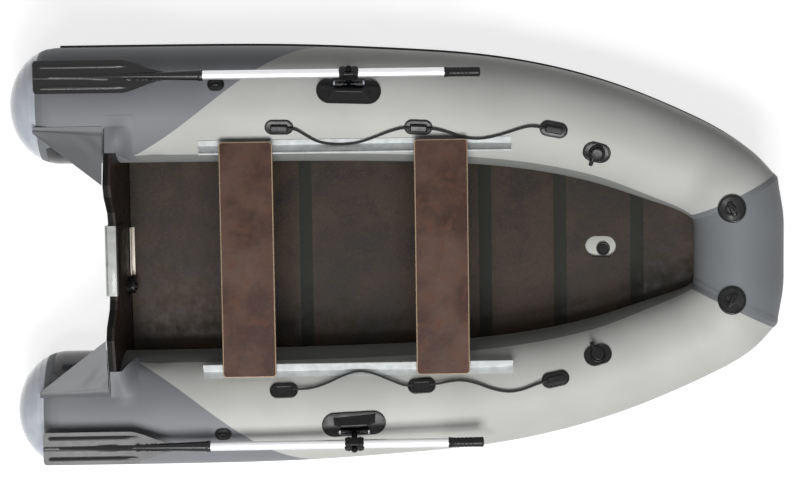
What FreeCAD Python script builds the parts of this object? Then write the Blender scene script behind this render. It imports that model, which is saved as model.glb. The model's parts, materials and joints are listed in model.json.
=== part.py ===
import FreeCAD, Part
import math
import os

from FreeCAD import Vector

# Inflatable rowing boat, in millimetres: +X to the bow, +Y to port, +Z up.
# The boat stands on its side tubes, with z = 0 at their lowest line.

# Side tubes
DOME_LENGTH = 179.0          # rounded end of each side tube
CAP_LENGTH = 116.0           # part of the rounded end that the stern cap covers
DOME_TIP_SHARE = 0.9999      # the rounded end stops at a small flat disc
STERN_HALF_SPREAD = 551.0    # tube axis to the boat's middle, at the stern
STERN_TUBE_R = 208.0
BOW_AXIS_X = 1225.0          # axis of the tube that crosses the bow
BOW_TUBE_R = 160.0
BOW_RISE = 160.0             # how far the bow's underside lies above the ground
RISE_START_X = 92.0
RISE_POWER = 3.0
BEND_R = 178.0               # plan radius of the tube axis round each bow corner
BEND_START_DEG = 38.0        # heading of the side tube where that bend starts
BEND_CENTRE_Y = 105.0
SIDE_STATIONS = [            # x, half spread and tube radius, from stern to bow
    (-708.0, 550.5, 208.0),
    (-358.0, 547.0, 206.5),
    (-8.0, 535.0, 201.0),
    (292.0, 515.0, 196.0),
    (578.0, 470.0, 187.0),
    (808.0, 405.0, 178.0),
    (992.0, 333.0, 169.0),
]

# Clearances
SEAT_GAP = 0.3               # between a piece and the curved tube that it sits on
STRAKE_GAP = 0.9             # between a strake and its tube
KEEL_GAP = 0.6               # between the keel tube and the skin's fold
BUTT_GAP = 0.5               # between floor boards
RUN_GAP = 0.3                # round a pin, bar or bead that something turns or slides on
SIDE_PLAY = 1.0              # along such a pin or bar
FACE_GAP = 0.1               # between flat pieces that are screwed together

# Floor and bottom
FLOOR_TOP_Z = 70.0
FLOOR_T = 12.0
FLOOR_HALF_WIDTH = 420.0
FLOOR_JOINTS_X = [-335.0, 328.0, 605.0, 885.0]
FLOOR_FRONT_X = 1104.0
FOURTH_BOARD_DEG = 7.0
FIFTH_BOARD_DEG = 15.0
JOINT_W = 46.0
JOINT_T = 2.5
VALVE_HOLE_X = 754.0
VALVE_HOLE_L = 113.0
VALVE_HOLE_W = 78.0
SKIN_T = 4.0
SKIN_KEEL_Z = 6.0
SKIN_ANGLE = 24.0            # where the skin meets each tube, from straight down
SKIN_OVERLAP = 12.0          # how far its edge reaches into a tube before it is cut
BOTTOM_STATIONS_X = [-508.0, -8.0, 292.0, 492.0, 605.0, 754.0, 885.0, 992.0]
SKIN_FORE_X = 1052.0         # from here the skin sweeps up to the bow tube
SKIN_END_X = 1172.0
SKIN_END_Z = 172.0
SKIN_END_HALF_W = 150.0
KEEL_HALF_W = 60.0
KEEL_VALVE_PLACE = (764.0, -8.0)
KEEL_VALVE_R = 25.0
KEEL_VALVE_H = 9.0
KEEL_VALVE_SINK = 4.0
KEEL_CAP_R = 17.0
KEEL_CAP_H = 4.0

# Transom
TRANSOM_FACE_X = -1008.0     # forward face
TRANSOM_T = 26.0
TRANSOM_RAKE_DEG = 3.8       # the board's foot stands forward of its top
TRANSOM_TOP_Z = 450.0
TRANSOM_DIP_Z = 362.0        # top of the low middle, where a motor clamps
TRANSOM_DIP_HALF_W = 140.0
TRANSOM_SHOULDER_Y = 232.0
TRANSOM_PEAK_Y = 275.0
TRANSOM_OUTER_Y = 470.0
TRANSOM_OUTER_Z = 404.0
TRANSOM_SHOULDER_DROP = 16.0
TRANSOM_DIP_TAPER = (34.0, 12.0)
COVER_T = 2.0
COVER_LIP = 16.0
COVER_BASE_Z = 60.0
COVER_HALF_W = 700.0
MOTOR_PLATE_HALF_W = 126.0
OUTER_PLATE_T = 12.0
OUTER_PLATE_BASE_Z = 190.0
INNER_PLATE_T = 6.0
INNER_PLATE_BASE_Z = 245.0
PLATE_TOP_T = 5.0
FOOT_Y = (-78.0, 98.0)
FOOT_H = 34.0
FOOT_W = 24.0
FOOT_T = 4.0
DRAIN_Y = -116.0
DRAIN_Z = 118.0
DRAIN_STEPS = [(38.0, 9.0), (25.8, 24.0), (13.7, 30.0)]     # radius and length of each step
GUSSET_T = 3.0
GUSSET_AFT_X = -1270.0

# Seats and rails
SEAT_LENGTH = 840.0
SEAT_W = 190.0
SEAT_T = 12.0
SEAT_BASE_Z = 396.0
SEAT_CORNER_R = 14.0
AFT_SEAT_X = -535.0
FORE_SEAT_X = 155.0
RAIL_X = (-702.0, 406.0)
BEAD_Y = 378.0
BEAD_Z = 384.0
BEAD_R = 4.0
WEB_T = 3.0
RAIL_STRIP_Y = (382.0, 424.0)
RAIL_STRIP_T = 2.5
RUNNER_WALL = 4.0
RUNNER_INSET = 10.0          # from the seat's edges
RUNNER_DEPTH = 1.0           # below the bead
RUNNER_SLOT_PLAY = 1.5       # each side of the web
WEB_REACH = 60.0             # the web's blank, before it is cut to the tube

# Rowlocks and oars
ROWLOCK_X = -166.0
BASE_LENGTH = 228.0
BASE_W = 92.0
BASE_T = 8.0
BASE_Y = 594.0
HUMP_L = (174.0, 96.0)       # at its foot and at its top
HUMP_H = 30.0
HUMP_Y = (-44.0, -22.0, -4.0)    # foot and top of its slanted face, and its back
HINGE_Y = 620.0
HINGE_Z = 409.0
HINGE_BAR_R = 6.0
HINGE_BAR_L = 112.0
EAR_L = 26.0
EAR_R = 13.0
EAR_DEPTH = 40.0             # the ear's blank, before it is cut to the tube
PIN_LEAN_DEG = 38.0
PIN_FOOT_R = 10.5
PIN_FOOT_L = 44.0
FOOT_ROOM = 16.0             # free radius round the pin's foot
PIN_R = 6.0
PIN_TO_SHAFT = 59.0
PIN_CAP_R = 11.0
PIN_CAP_L = 9.0
SHAFT_R = 16.0
SHAFT_WALL = 1.8
COLLAR_L = 70.0
COLLAR_W = 44.0
COLLAR_H = 46.0
OAR_AFT_X = -1268.0
BLADE_FULL_X = -993.0
BLADE_NECK_X = -799.0
SHAFT_AFT_X = -676.0
GRIP_X = 168.0
OAR_FORE_X = 294.0
BLADE_W = 116.0
BLADE_EDGE_T = 5.0
BLADE_CORNER = 12.0
BLADE_RIB_R = (4.0, 15.0)    # at the blade's end and at its neck
BLADE_RIB_START = 20.0
NECK_R = 19.0
GRIP_R = 17.5
GRIP_LIP_R = 19.0
GRIP_LIP_L = 10.0
SHAFT_OVERLAP = 60.0         # of the shaft inside the blade's neck and the grip
COLLAR_FILLET = 7.0

# Fittings on the tubes: plan places on the port side, turned with the tube there
HOLDER_PLACES = [(-415.0, 469.0), (76.0, 462.0), (556.0, 447.0)]
HOLDER_L = 102.0
HOLDER_W = 56.0
HOLDER_PAD_T = 6.0
HOLDER_BODY_L = 62.0
HOLDER_BODY_W = 24.0
HOLDER_BODY_H = 20.0
HOLDER_BODY_CORNER = 5.0
AIR_VALVE_PLACE = (710.0, 362.0)
AIR_VALVE_L = 104.0
AIR_VALVE_W = 76.0
AIR_VALVE_PAD_T = 5.0
AIR_VALVE_STEPS = [(30.0, 14.0), (22.0, 22.0)]      # radius and height of the ring and the cap
STUB_R = 8.0                 # spout at the valve's inboard side
STUB_L = 35.0
STUB_START = (-8.0, -44.0, 15.5)
BOW_EYE_PLACE = (1176.0, 163.0)
BOW_EYE_R = 50.0
BOW_EYE_PAD_T = 7.0
BOW_EYE_BOSS = (64.0, 30.0, 24.0)    # length, width and height
BOW_EYE_CORNER = 8.0
OAR_REST_PLACE = (-635.0, 622.0)
OAR_REST_L = 60.0
OAR_REST_W = 46.0
OAR_REST_PAD_T = 7.0
OAR_REST_KNOB = (26.0, 20.0, 17.0)   # length, width and height
OAR_REST_CORNER = 6.0
PAD_SINK = 30.0              # how far a pad's blank reaches into the tube before it is cut

# Rubbing strake
STRAKE_SIDE_DROP_DEG = 13.0  # below the tube's widest line, at the stern
STRAKE_BOW_DROP_DEG = 24.0   # and round the bow
STRAKE_HALF_DEG = 7.0
STRAKE_T = 12.0
STRAKE_FACE_SHARE = 0.6      # the outer face's width against the inner face's

# Life lines: each route runs forward between the end faces of two rope holders
ROPE_R = 4.0
ROPE_EXIT_H = 11.0           # the rope's height above the tube where it leaves a holder
ROPE_STUB = 24.0             # straight run out of a holder
LIFE_LINES = {
    "port_life_line_aft": [
        (-325, 441, 394), (-278, 412, 373), (-208, 402, 364), (-139, 408, 368),
        (-83, 426, 381), (-33, 446, 392),
    ],
    "port_life_line_fore": [
        (177, 444, 388), (224, 426, 380), (275, 416, 375), (327, 420, 379),
        (381, 434, 386), (430, 450, 391), (469, 460, 394),
    ],
    "starboard_life_line_aft": [
        (-314, -462, 403), (-263, -447, 395), (-209, -423, 381), (-149, -405, 366),
        (-89, -417, 375), (-33, -440, 389),
    ],
    "starboard_life_line_fore": [
        (171, -448, 390), (222, -443, 388), (277, -456, 393), (334, -479, 397),
        (390, -489, 398), (435, -482, 396), (471, -469, 395),
    ],
}

UP = Vector(0, 0, 1)
ALONG = Vector(1, 0, 0)
PORT = 1
STARBOARD = -1
SIDES = {"port": PORT, "starboard": STARBOARD}

os.makedirs("parts", exist_ok=True)


def export(node, shape):
    """Write one node, a solid or several solids that don't touch."""
    solids = shape.Solids
    if not shape.isValid():
        print("NOT VALID", node)
    print("%-26s solids %d volume %.0f" % (node, len(solids), shape.Volume))
    body = solids[0] if len(solids) == 1 else Part.makeCompound(solids)
    body.exportStep("parts/" + node + ".step")


def largest(shape):
    return max(shape.Solids, key=lambda solid: solid.Volume)


def mirrored(shape):
    return shape.mirror(Vector(0, 0, 0), Vector(0, 1, 0))


def on_side(shape, side):
    """A port piece, or its mirror image for starboard."""
    return shape if side == PORT else mirrored(shape)


def block(x0, x1, y0, y1, z0, z1):
    return Part.makeBox(x1 - x0, y1 - y0, z1 - z0, Vector(x0, y0, z0))


def cylinder(radius, start, direction, length):
    return Part.makeCylinder(radius, length, start, direction)


def prism(points, sweep):
    wire = Part.makePolygon(points + [points[0]])
    return Part.Face(wire).extrude(sweep)


def stadium(length, width, z0, height, corner=None):
    """A flat-based pad with round ends or corners, centred on its own origin."""
    solid = block(-length / 2, length / 2, -width / 2, width / 2, z0, z0 + height)
    radius = width / 2 - 0.01 if corner is None else corner
    upright = [e for e in solid.Edges if abs(e.tangentAt(e.FirstParameter).z) > 0.9]
    return solid.makeFillet(radius, upright)


# Axis of the port tube, as a curve whose height stands for the tube's radius

def rise(x):
    reach = BOW_AXIS_X - RISE_START_X
    return BOW_RISE * (max(0.0, x - RISE_START_X) / reach) ** RISE_POWER


# The strake's foremost line, and the stern caps' tips as far behind the origin
STRAKE_FACE_TOP = math.radians(STRAKE_BOW_DROP_DEG - STRAKE_HALF_DEG * STRAKE_FACE_SHARE)
BOW_X = BOW_AXIS_X + (BOW_TUBE_R + STRAKE_T) * math.cos(STRAKE_FACE_TOP)
STERN_X = -BOW_X
DOME_X = STERN_X + DOME_LENGTH
CAP_X = STERN_X + CAP_LENGTH
BEND_CENTRE_X = BOW_AXIS_X - BEND_R


def bend_point(heading_deg):
    """Point of the tube axis in the bow bend, where it has the heading."""
    turn = math.radians(90.0 - heading_deg)
    return (BEND_CENTRE_X + BEND_R * math.cos(turn), BEND_CENTRE_Y + BEND_R * math.sin(turn))


SIDE_POINTS = [Vector(DOME_X, STERN_HALF_SPREAD, STERN_TUBE_R)]
SIDE_POINTS += [Vector(*station) for station in SIDE_STATIONS]
SIDE_POINTS += [Vector(*bend_point(BEND_START_DEG), BOW_TUBE_R)]
BEND_START = math.radians(BEND_START_DEG)
SIDE_CURVE = Part.BSplineCurve()
SIDE_CURVE.interpolate(
    Points=SIDE_POINTS,
    InitialTangent=Vector(1, 0, 0),
    FinalTangent=Vector(math.cos(BEND_START), -math.sin(BEND_START), 0))


SIDE_STEPS = 20              # sections along the side, and round the bend
BEND_STEPS = 8


def axis_frames():
    """Centre, heading and radius of the sections from the stern to the middle of the bow."""
    frames = []
    first, last = SIDE_CURVE.FirstParameter, SIDE_CURVE.LastParameter
    for i in range(SIDE_STEPS + 1):
        u = first + (last - first) * i / SIDE_STEPS
        point = SIDE_CURVE.value(u)
        tangent = SIDE_CURVE.tangent(u)[0]
        heading = math.atan2(-tangent.y, tangent.x)
        frames.append((point.x, point.y, point.z + rise(point.x), heading, point.z))
    for i in range(1, BEND_STEPS + 1):
        deg = BEND_START_DEG + (90.0 - BEND_START_DEG) * i / BEND_STEPS
        x, y = bend_point(deg)
        frames.append((x, y, BOW_TUBE_R + rise(x), math.radians(deg), BOW_TUBE_R))
    frames.append((BOW_AXIS_X, 0.0, BOW_TUBE_R + rise(BOW_AXIS_X), math.pi / 2, BOW_TUBE_R))
    return frames


FRAMES = axis_frames()
MITRE_INDEX = SIDE_STEPS + BEND_STEPS // 2


def ring(frame, grow):
    x, y, z, heading, radius = frame
    forward = Vector(math.cos(heading), -math.sin(heading), 0)
    return Part.Wire([Part.Circle(Vector(x, y, z), forward, radius + grow).toShape()])


def side_loft(grow):
    rings = [ring(f, grow) for f in FRAMES[:MITRE_INDEX + 1]]
    return Part.makeLoft(rings, True, False)


def bow_frames():
    half = FRAMES[MITRE_INDEX:]
    other = [(x, -y, z, math.pi - heading, r) for x, y, z, heading, r in reversed(half[:-1])]
    return half + other


def bow_loft(grow):
    return Part.makeLoft([ring(f, grow) for f in bow_frames()], True, False)


def dome(x0, x1, grow=0.0):
    """A slice of the port tube's rounded end, between two places along the boat."""
    centre = Vector(DOME_X, STERN_HALF_SPREAD, STERN_TUBE_R)
    radius = STERN_TUBE_R + grow
    length = DOME_LENGTH + grow
    ellipse = Part.Ellipse(centre + Vector(0, 0, radius), centre - Vector(length, 0, 0), centre)
    a0 = math.asin((DOME_X - x1) / length)
    a1 = math.asin(min(DOME_TIP_SHARE, (DOME_X - x0) / length))
    arc = Part.Arc(ellipse, a0, a1).toShape()
    start, end = ellipse.value(a0), ellipse.value(a1)
    foot0 = Vector(start.x, centre.y, centre.z)
    foot1 = Vector(end.x, centre.y, centre.z)
    edges = [Part.makeLine(foot0, start), arc, Part.makeLine(end, foot1)]
    edges.append(Part.makeLine(foot1, foot0))
    face = Part.Face(Part.Wire(edges))
    return face.revolve(centre, Vector(1, 0, 0), 360)


def port_tube(grow=0.0):
    return side_loft(grow).fuse(dome(CAP_X, DOME_X, grow)).removeSplitter()


TUBE = port_tube()
TUBE_SEAT = port_tube(SEAT_GAP).fuse(dome(STERN_X, CAP_X, SEAT_GAP))
BOW_SEAT = bow_loft(SEAT_GAP)


def off_port_tube(shape):
    return shape.cut(TUBE_SEAT)


def off_tubes(shape):
    """Cut by both side tubes and the bow tube, each with its seating gap."""
    return shape.cut(TUBE_SEAT).cut(mirrored(TUBE_SEAT)).cut(BOW_SEAT)


def nearest_axis(x, y):
    """Axis place next to a plan point of the port side, with its centre, heading and radius."""
    best = None
    first, last = SIDE_CURVE.FirstParameter, SIDE_CURVE.LastParameter
    steps = 1500
    for i in range(steps + 1):
        u = first + (last - first) * i / steps
        p = SIDE_CURVE.value(u)
        gap = math.hypot(p.x - x, p.y - y)
        if best is None or gap < best[0]:
            tangent = SIDE_CURVE.tangent(u)[0]
            best = (gap, p.x, p.y, math.atan2(-tangent.y, tangent.x), p.z)
    for i in range(201):
        deg = BEND_START_DEG + (90.0 - BEND_START_DEG) * i / 200
        bx, by = bend_point(deg)
        gap = math.hypot(bx - x, by - y)
        if gap < best[0]:
            best = (gap, bx, by, math.radians(deg), BOW_TUBE_R)
    return best[1:]


def surface_placement(x, y):
    """Placement on top of the port tube: X along the tube, Z out of its surface."""
    ax, ay, heading, radius = nearest_axis(x, y)
    forward = Vector(math.cos(heading), -math.sin(heading), 0)
    outward = Vector(math.sin(heading), math.cos(heading), 0)
    offset = (x - ax) * outward.x + (y - ay) * outward.y
    lean = math.asin(offset / radius)
    normal = outward * math.sin(lean) + Vector(0, 0, 1) * math.cos(lean)
    across = normal.cross(forward)
    centre = Vector(ax, ay, radius + rise(ax))
    turn = FreeCAD.Rotation(forward, across, normal, "ZXY")
    return FreeCAD.Placement(centre + normal * radius, turn)


def seated(shape, place):
    """A piece made round its own origin, set on the port tube and cut to its curve."""
    moved = shape.copy()
    moved.Placement = surface_placement(*place)
    return moved.cut(TUBE_SEAT).cut(BOW_SEAT)


def make_tubes():
    cap = dome(STERN_X, CAP_X)
    for name, side in SIDES.items():
        export(name + "_tube", on_side(TUBE, side))
        export(name + "_stern_cap", on_side(cap, side))
    export("bow_tube", bow_loft(0.0))


def strake_section(frame):
    x, y, z, heading, radius = frame
    outward = Vector(math.sin(heading), math.cos(heading), 0)
    centre = Vector(x, y, z)

    def point(reach, deg):
        a = math.radians(deg)
        return centre + (outward * math.cos(a) - Vector(0, 0, 1) * math.sin(a)) * reach

    inner = radius + STRAKE_GAP
    outer = radius + STRAKE_T
    share = min(1.0, heading / FRAMES[MITRE_INDEX][3])
    drop = STRAKE_SIDE_DROP_DEG + (STRAKE_BOW_DROP_DEG - STRAKE_SIDE_DROP_DEG) * share
    low, mid, high = (drop + k * STRAKE_HALF_DEG for k in (1, 0, -1))
    low_out, high_out = (drop + k * STRAKE_HALF_DEG * STRAKE_FACE_SHARE for k in (1, -1))
    edges = [
        Part.Arc(point(inner, low), point(inner, mid), point(inner, high)).toShape(),
        Part.makeLine(point(inner, high), point(outer, high_out)),
        Part.Arc(point(outer, high_out), point(outer, mid), point(outer, low_out)).toShape(),
        Part.makeLine(point(outer, low_out), point(inner, low)),
    ]
    return Part.Wire(edges)


def make_strakes():
    port = Part.makeLoft([strake_section(f) for f in FRAMES[:MITRE_INDEX + 1]], True, False)
    for name, side in SIDES.items():
        export(name + "_strake", on_side(port, side))
    export("bow_strake", Part.makeLoft([strake_section(f) for f in bow_frames()], True, False))


def spread_at(x):
    """Half spread, height and radius of the side tube's axis at a place along the boat."""
    frame = min(((abs(f[0] - x), f) for f in AXIS_SAMPLES), key=lambda item: item[0])[1]
    return frame[1], frame[2], frame[3]


def axis_samples():
    samples = []
    first, last = SIDE_CURVE.FirstParameter, SIDE_CURVE.LastParameter
    for i in range(2001):
        p = SIDE_CURVE.value(first + (last - first) * i / 2000)
        samples.append((p.x, p.y, p.z + rise(p.x), p.z))
    return samples


AXIS_SAMPLES = axis_samples()


def skin_edge(x):
    """Where the skin's underside ends inside the port tube, before it is cut to the tube."""
    half, height, radius = spread_at(x)
    angle = math.radians(SKIN_ANGLE)
    reach = radius - SKIN_OVERLAP
    return half - reach * math.sin(angle), height - reach * math.cos(angle)


def skin_section(x):
    y, z = skin_edge(x)
    keel = SKIN_KEEL_Z + rise(x)
    points = [
        Vector(x, -y, z), Vector(x, 0, keel), Vector(x, y, z),
        Vector(x, y, z + SKIN_T), Vector(x, 0, keel + SKIN_T), Vector(x, -y, z + SKIN_T),
    ]
    return Part.makePolygon(points + [points[0]])


def skin_front_section():
    """The skin's front edge, under the tube that crosses the bow."""
    x, half, z = SKIN_END_X, SKIN_END_HALF_W, SKIN_END_Z
    points = [
        Vector(x, -half, z + SKIN_T), Vector(x, 0, z), Vector(x, half, z + SKIN_T),
        Vector(x, half, z + 2 * SKIN_T), Vector(x, 0, z + SKIN_T), Vector(x, -half, z + 2 * SKIN_T),
    ]
    return Part.makePolygon(points + [points[0]])


def skin_top(x):
    return SKIN_KEEL_Z + rise(x) + SKIN_T


def floor_slope(x):
    """Height of the floor's top along the boat."""
    third, fourth = FLOOR_JOINTS_X[2], FLOOR_JOINTS_X[3]
    z = FLOOR_TOP_Z
    z += math.tan(math.radians(FOURTH_BOARD_DEG)) * (min(max(x, third), fourth) - third)
    z += math.tan(math.radians(FIFTH_BOARD_DEG)) * (max(x, fourth) - fourth)
    return z


def floor_board(x0, x1, thickness, above=0.0):
    """A board between two places, its top at the floor line plus a height."""
    z0, z1 = floor_slope(x0) + above, floor_slope(x1) + above
    profile = [
        Vector(x0, -FLOOR_HALF_WIDTH, z0 - thickness), Vector(x1, -FLOOR_HALF_WIDTH, z1 - thickness),
        Vector(x1, -FLOOR_HALF_WIDTH, z1), Vector(x0, -FLOOR_HALF_WIDTH, z0),
    ]
    return prism(profile, Vector(0, 2 * FLOOR_HALF_WIDTH, 0))


def make_bottom():
    aft = TRANSOM_FACE_X - TRANSOM_T
    sections = [skin_section(x) for x in [aft] + BOTTOM_STATIONS_X + [SKIN_FORE_X]]
    sections.append(skin_front_section())
    skin = Part.makeLoft(sections, True, True)
    export("bottom_skin", off_tubes(skin))

    sections = []
    for x in [raked_face_x(0.0) + BUTT_GAP] + BOTTOM_STATIONS_X:
        low = skin_top(x) + KEEL_GAP
        high = floor_slope(x) - FLOOR_T - SEAT_GAP
        middle = Vector(x, 0, (low + high) / 2)
        half = (high - low) / 2
        wide = Part.Ellipse(middle + Vector(0, KEEL_HALF_W, 0), middle + Vector(0, 0, half), middle)
        sections.append(Part.Wire([wide.toShape()]))
    keel = Part.makeLoft(sections, True, True)
    flat_z = floor_slope(VALVE_HOLE_X) - FLOOR_T - SEAT_GAP
    valve_start = Vector(*KEEL_VALVE_PLACE, flat_z - KEEL_VALVE_SINK)
    height = KEEL_VALVE_H + KEEL_VALVE_SINK
    valve = cylinder(KEEL_VALVE_R, valve_start, UP, height)
    valve = valve.fuse(cylinder(KEEL_CAP_R, valve_start, UP, height + KEEL_CAP_H))
    export("keel_tube", keel.cut(valve))
    export("keel_valve", valve)


def make_floor():
    aft = raked_face_x(FLOOR_TOP_Z - FLOOR_T) + BUTT_GAP
    breaks = [aft] + FLOOR_JOINTS_X + [FLOOR_FRONT_X]
    hole = stadium(VALVE_HOLE_L, VALVE_HOLE_W, 0, 2 * FLOOR_TOP_Z)
    hole.translate(Vector(VALVE_HOLE_X, 0, 0))
    for i in range(len(breaks) - 1):
        board = floor_board(breaks[i] + BUTT_GAP / 2, breaks[i + 1] - BUTT_GAP / 2, FLOOR_T)
        board = largest(off_tubes(board))
        if breaks[i] < VALVE_HOLE_X < breaks[i + 1]:
            board = board.cut(hole)
        export("floor_panel_%d" % (i + 1), board)
    for i, x in enumerate(FLOOR_JOINTS_X):
        strip = floor_board(x - JOINT_W / 2, x, JOINT_T, JOINT_T)
        strip = strip.fuse(floor_board(x, x + JOINT_W / 2, JOINT_T, JOINT_T))
        export("floor_joint_%d" % (i + 1), off_tubes(strip))


def raked_face_x(z):
    """Where the leaning board's forward face stands at a height."""
    return TRANSOM_FACE_X + (TRANSOM_TOP_Z - z) * math.tan(math.radians(TRANSOM_RAKE_DEG))


def raked(shape):
    """Turn a piece with the transom's lean, about the top of its forward face."""
    leaning = shape.copy()
    leaning.rotate(Vector(TRANSOM_FACE_X, 0, TRANSOM_TOP_Z), Vector(0, 1, 0), -TRANSOM_RAKE_DEG)
    return leaning


def transom_outline(x, lift=0.0):
    """The board's outline, as points from the keel round the port side and back."""
    corner_y, corner_z = skin_edge(x)
    clear = SEAT_GAP + TRANSOM_T * math.sin(math.radians(TRANSOM_RAKE_DEG))
    side = [
        (corner_y, corner_z + SKIN_T + clear), (TRANSOM_OUTER_Y, STERN_TUBE_R),
        (TRANSOM_OUTER_Y, TRANSOM_OUTER_Z + lift),
        (TRANSOM_PEAK_Y, TRANSOM_TOP_Z + lift),
        (TRANSOM_SHOULDER_Y, TRANSOM_TOP_Z - TRANSOM_SHOULDER_DROP + lift),
        (TRANSOM_DIP_HALF_W + TRANSOM_DIP_TAPER[0], TRANSOM_DIP_Z + TRANSOM_DIP_TAPER[1] + lift),
        (TRANSOM_DIP_HALF_W, TRANSOM_DIP_Z + lift),
    ]
    points = [Vector(x, 0, skin_top(x) + clear)]
    points += [Vector(x, y, z) for y, z in side]
    points += [Vector(x, -y, z) for y, z in reversed(side)]
    return points


def make_transom():
    aft = TRANSOM_FACE_X - TRANSOM_T
    board = off_tubes(raked(prism(transom_outline(aft), Vector(TRANSOM_T, 0, 0))))
    export("transom_board", board)

    cover_aft = aft - COVER_T - FACE_GAP
    w = MOTOR_PLATE_HALF_W
    solid = prism(transom_outline(cover_aft, COVER_T), Vector(COVER_T + COVER_LIP, 0, 0))
    core = prism(transom_outline(aft - FACE_GAP, FACE_GAP), Vector(2 * TRANSOM_T, 0, 0))
    below = block(cover_aft - COVER_T, aft + TRANSOM_T, -COVER_HALF_W, COVER_HALF_W, 0, COVER_BASE_Z)
    saddle = block(cover_aft - COVER_T, aft + TRANSOM_T, -w - BUTT_GAP, w + BUTT_GAP,
                   TRANSOM_DIP_Z - COVER_T, TRANSOM_DIP_Z + COVER_LIP)
    cover = off_tubes(raked(solid.cut(core).cut(below).cut(saddle)))
    export("transom_cover", largest(cover))

    outer_x = cover_aft - OUTER_PLATE_T
    low = TRANSOM_DIP_Z + FACE_GAP
    top = low + PLATE_TOP_T
    plate = block(outer_x, cover_aft - FACE_GAP, -w, w, OUTER_PLATE_BASE_Z, top)
    plate = plate.fuse(block(outer_x, TRANSOM_FACE_X, -w, w, low, top))
    export("outer_motor_plate", raked(plate.removeSplitter()))
    inner_x = TRANSOM_FACE_X + FACE_GAP
    inner = block(inner_x, inner_x + INNER_PLATE_T, -w, w, INNER_PLATE_BASE_Z, top)
    export("inner_motor_plate", raked(inner))

    x = raked_face_x(FLOOR_TOP_Z) + BUTT_GAP
    y0, y1 = FOOT_Y
    z = FLOOR_TOP_Z + FACE_GAP
    foot = block(x, x + FOOT_W, y0, y1, z, z + FOOT_T)
    foot = foot.fuse(block(x, x + FOOT_T, y0, y1, z, z + FOOT_H))
    export("transom_foot", foot.removeSplitter())

    start = Vector(TRANSOM_FACE_X + FACE_GAP, DRAIN_Y, DRAIN_Z)
    steps = [cylinder(radius, start, ALONG, length) for radius, length in DRAIN_STEPS]
    export("drain_valve", raked(steps[0].fuse(steps[1:]).removeSplitter()))

    corner_x = cover_aft - SEAT_GAP
    a = Vector(GUSSET_AFT_X, TRANSOM_OUTER_Y, TRANSOM_OUTER_Z)
    lean = raked_face_x(TRANSOM_OUTER_Z) - TRANSOM_FACE_X
    b = Vector(corner_x + lean, TRANSOM_OUTER_Y, TRANSOM_OUTER_Z)
    c = Vector(corner_x, TRANSOM_PEAK_Y, TRANSOM_TOP_Z)
    sheet = largest(off_port_tube(prism([a, b, c], Vector(0, 0, -GUSSET_T))))
    for name, side in SIDES.items():
        export(name + "_gusset", on_side(sheet, side))


def slanted_web(x0, x1, half, reach):
    """A slab from the bead outboard and down at 45 degrees."""
    k = half * math.sqrt(0.5)
    corners = [
        Vector(x0, BEAD_Y - k, BEAD_Z - k), Vector(x0, BEAD_Y + k, BEAD_Z + k),
        Vector(x0, BEAD_Y + k + reach, BEAD_Z + k - reach),
        Vector(x0, BEAD_Y - k + reach, BEAD_Z - k - reach),
    ]
    return prism(corners, Vector(x1 - x0, 0, 0))


def make_rails():
    x0, x1 = RAIL_X
    y0, y1 = RAIL_STRIP_Y
    skin = side_loft(RAIL_STRIP_T).cut(TUBE_SEAT)
    strip = skin.common(block(x0, x1, y0, y1, STERN_TUBE_R, 2 * STERN_TUBE_R))
    bead = cylinder(BEAD_R, Vector(x0, BEAD_Y, BEAD_Z), ALONG, x1 - x0)
    web = off_port_tube(slanted_web(x0, x1, WEB_T / 2, WEB_REACH))
    web = max(web.Solids, key=lambda s: s.CenterOfMass.z)
    rail = bead.fuse(web).fuse(strip)
    for name, side in SIDES.items():
        export(name + "_rail", on_side(rail, side))


def seat_runner(x):
    """A runner under a seat's port end that grips the rail's bead."""
    half = BEAD_R + RUN_GAP + RUNNER_WALL
    x0, x1 = x - SEAT_W / 2 + RUNNER_INSET, x + SEAT_W / 2 - RUNNER_INSET
    low = BEAD_Z - BEAD_R - RUNNER_DEPTH
    body = block(x0, x1, BEAD_Y - half, BEAD_Y + half, low, SEAT_BASE_Z)
    bore = cylinder(BEAD_R + RUN_GAP, Vector(x0, BEAD_Y, BEAD_Z), ALONG, x1 - x0)
    slot = slanted_web(x0, x1, WEB_T / 2 + RUNNER_SLOT_PLAY, WEB_REACH)
    return largest(body.cut(bore).cut(slot))


def make_seats():
    for name, x in {"aft_seat": AFT_SEAT_X, "fore_seat": FORE_SEAT_X}.items():
        board = stadium(SEAT_W, SEAT_LENGTH, SEAT_BASE_Z, SEAT_T, SEAT_CORNER_R)
        board.translate(Vector(x, 0, 0))
        export(name, board)
        runner = seat_runner(x)
        export(name + "_runners", Part.makeCompound([runner, mirrored(runner)]))


# Rowlocks and oars

LEAN = math.radians(PIN_LEAN_DEG)
PIN_AXIS = Vector(0, math.sin(LEAN), math.cos(LEAN))
PIN_ACROSS = Vector(0, math.cos(LEAN), -math.sin(LEAN))
HINGE = Vector(ROWLOCK_X, HINGE_Y, HINGE_Z)
SHAFT_CENTRE = HINGE + PIN_AXIS * PIN_TO_SHAFT


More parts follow.
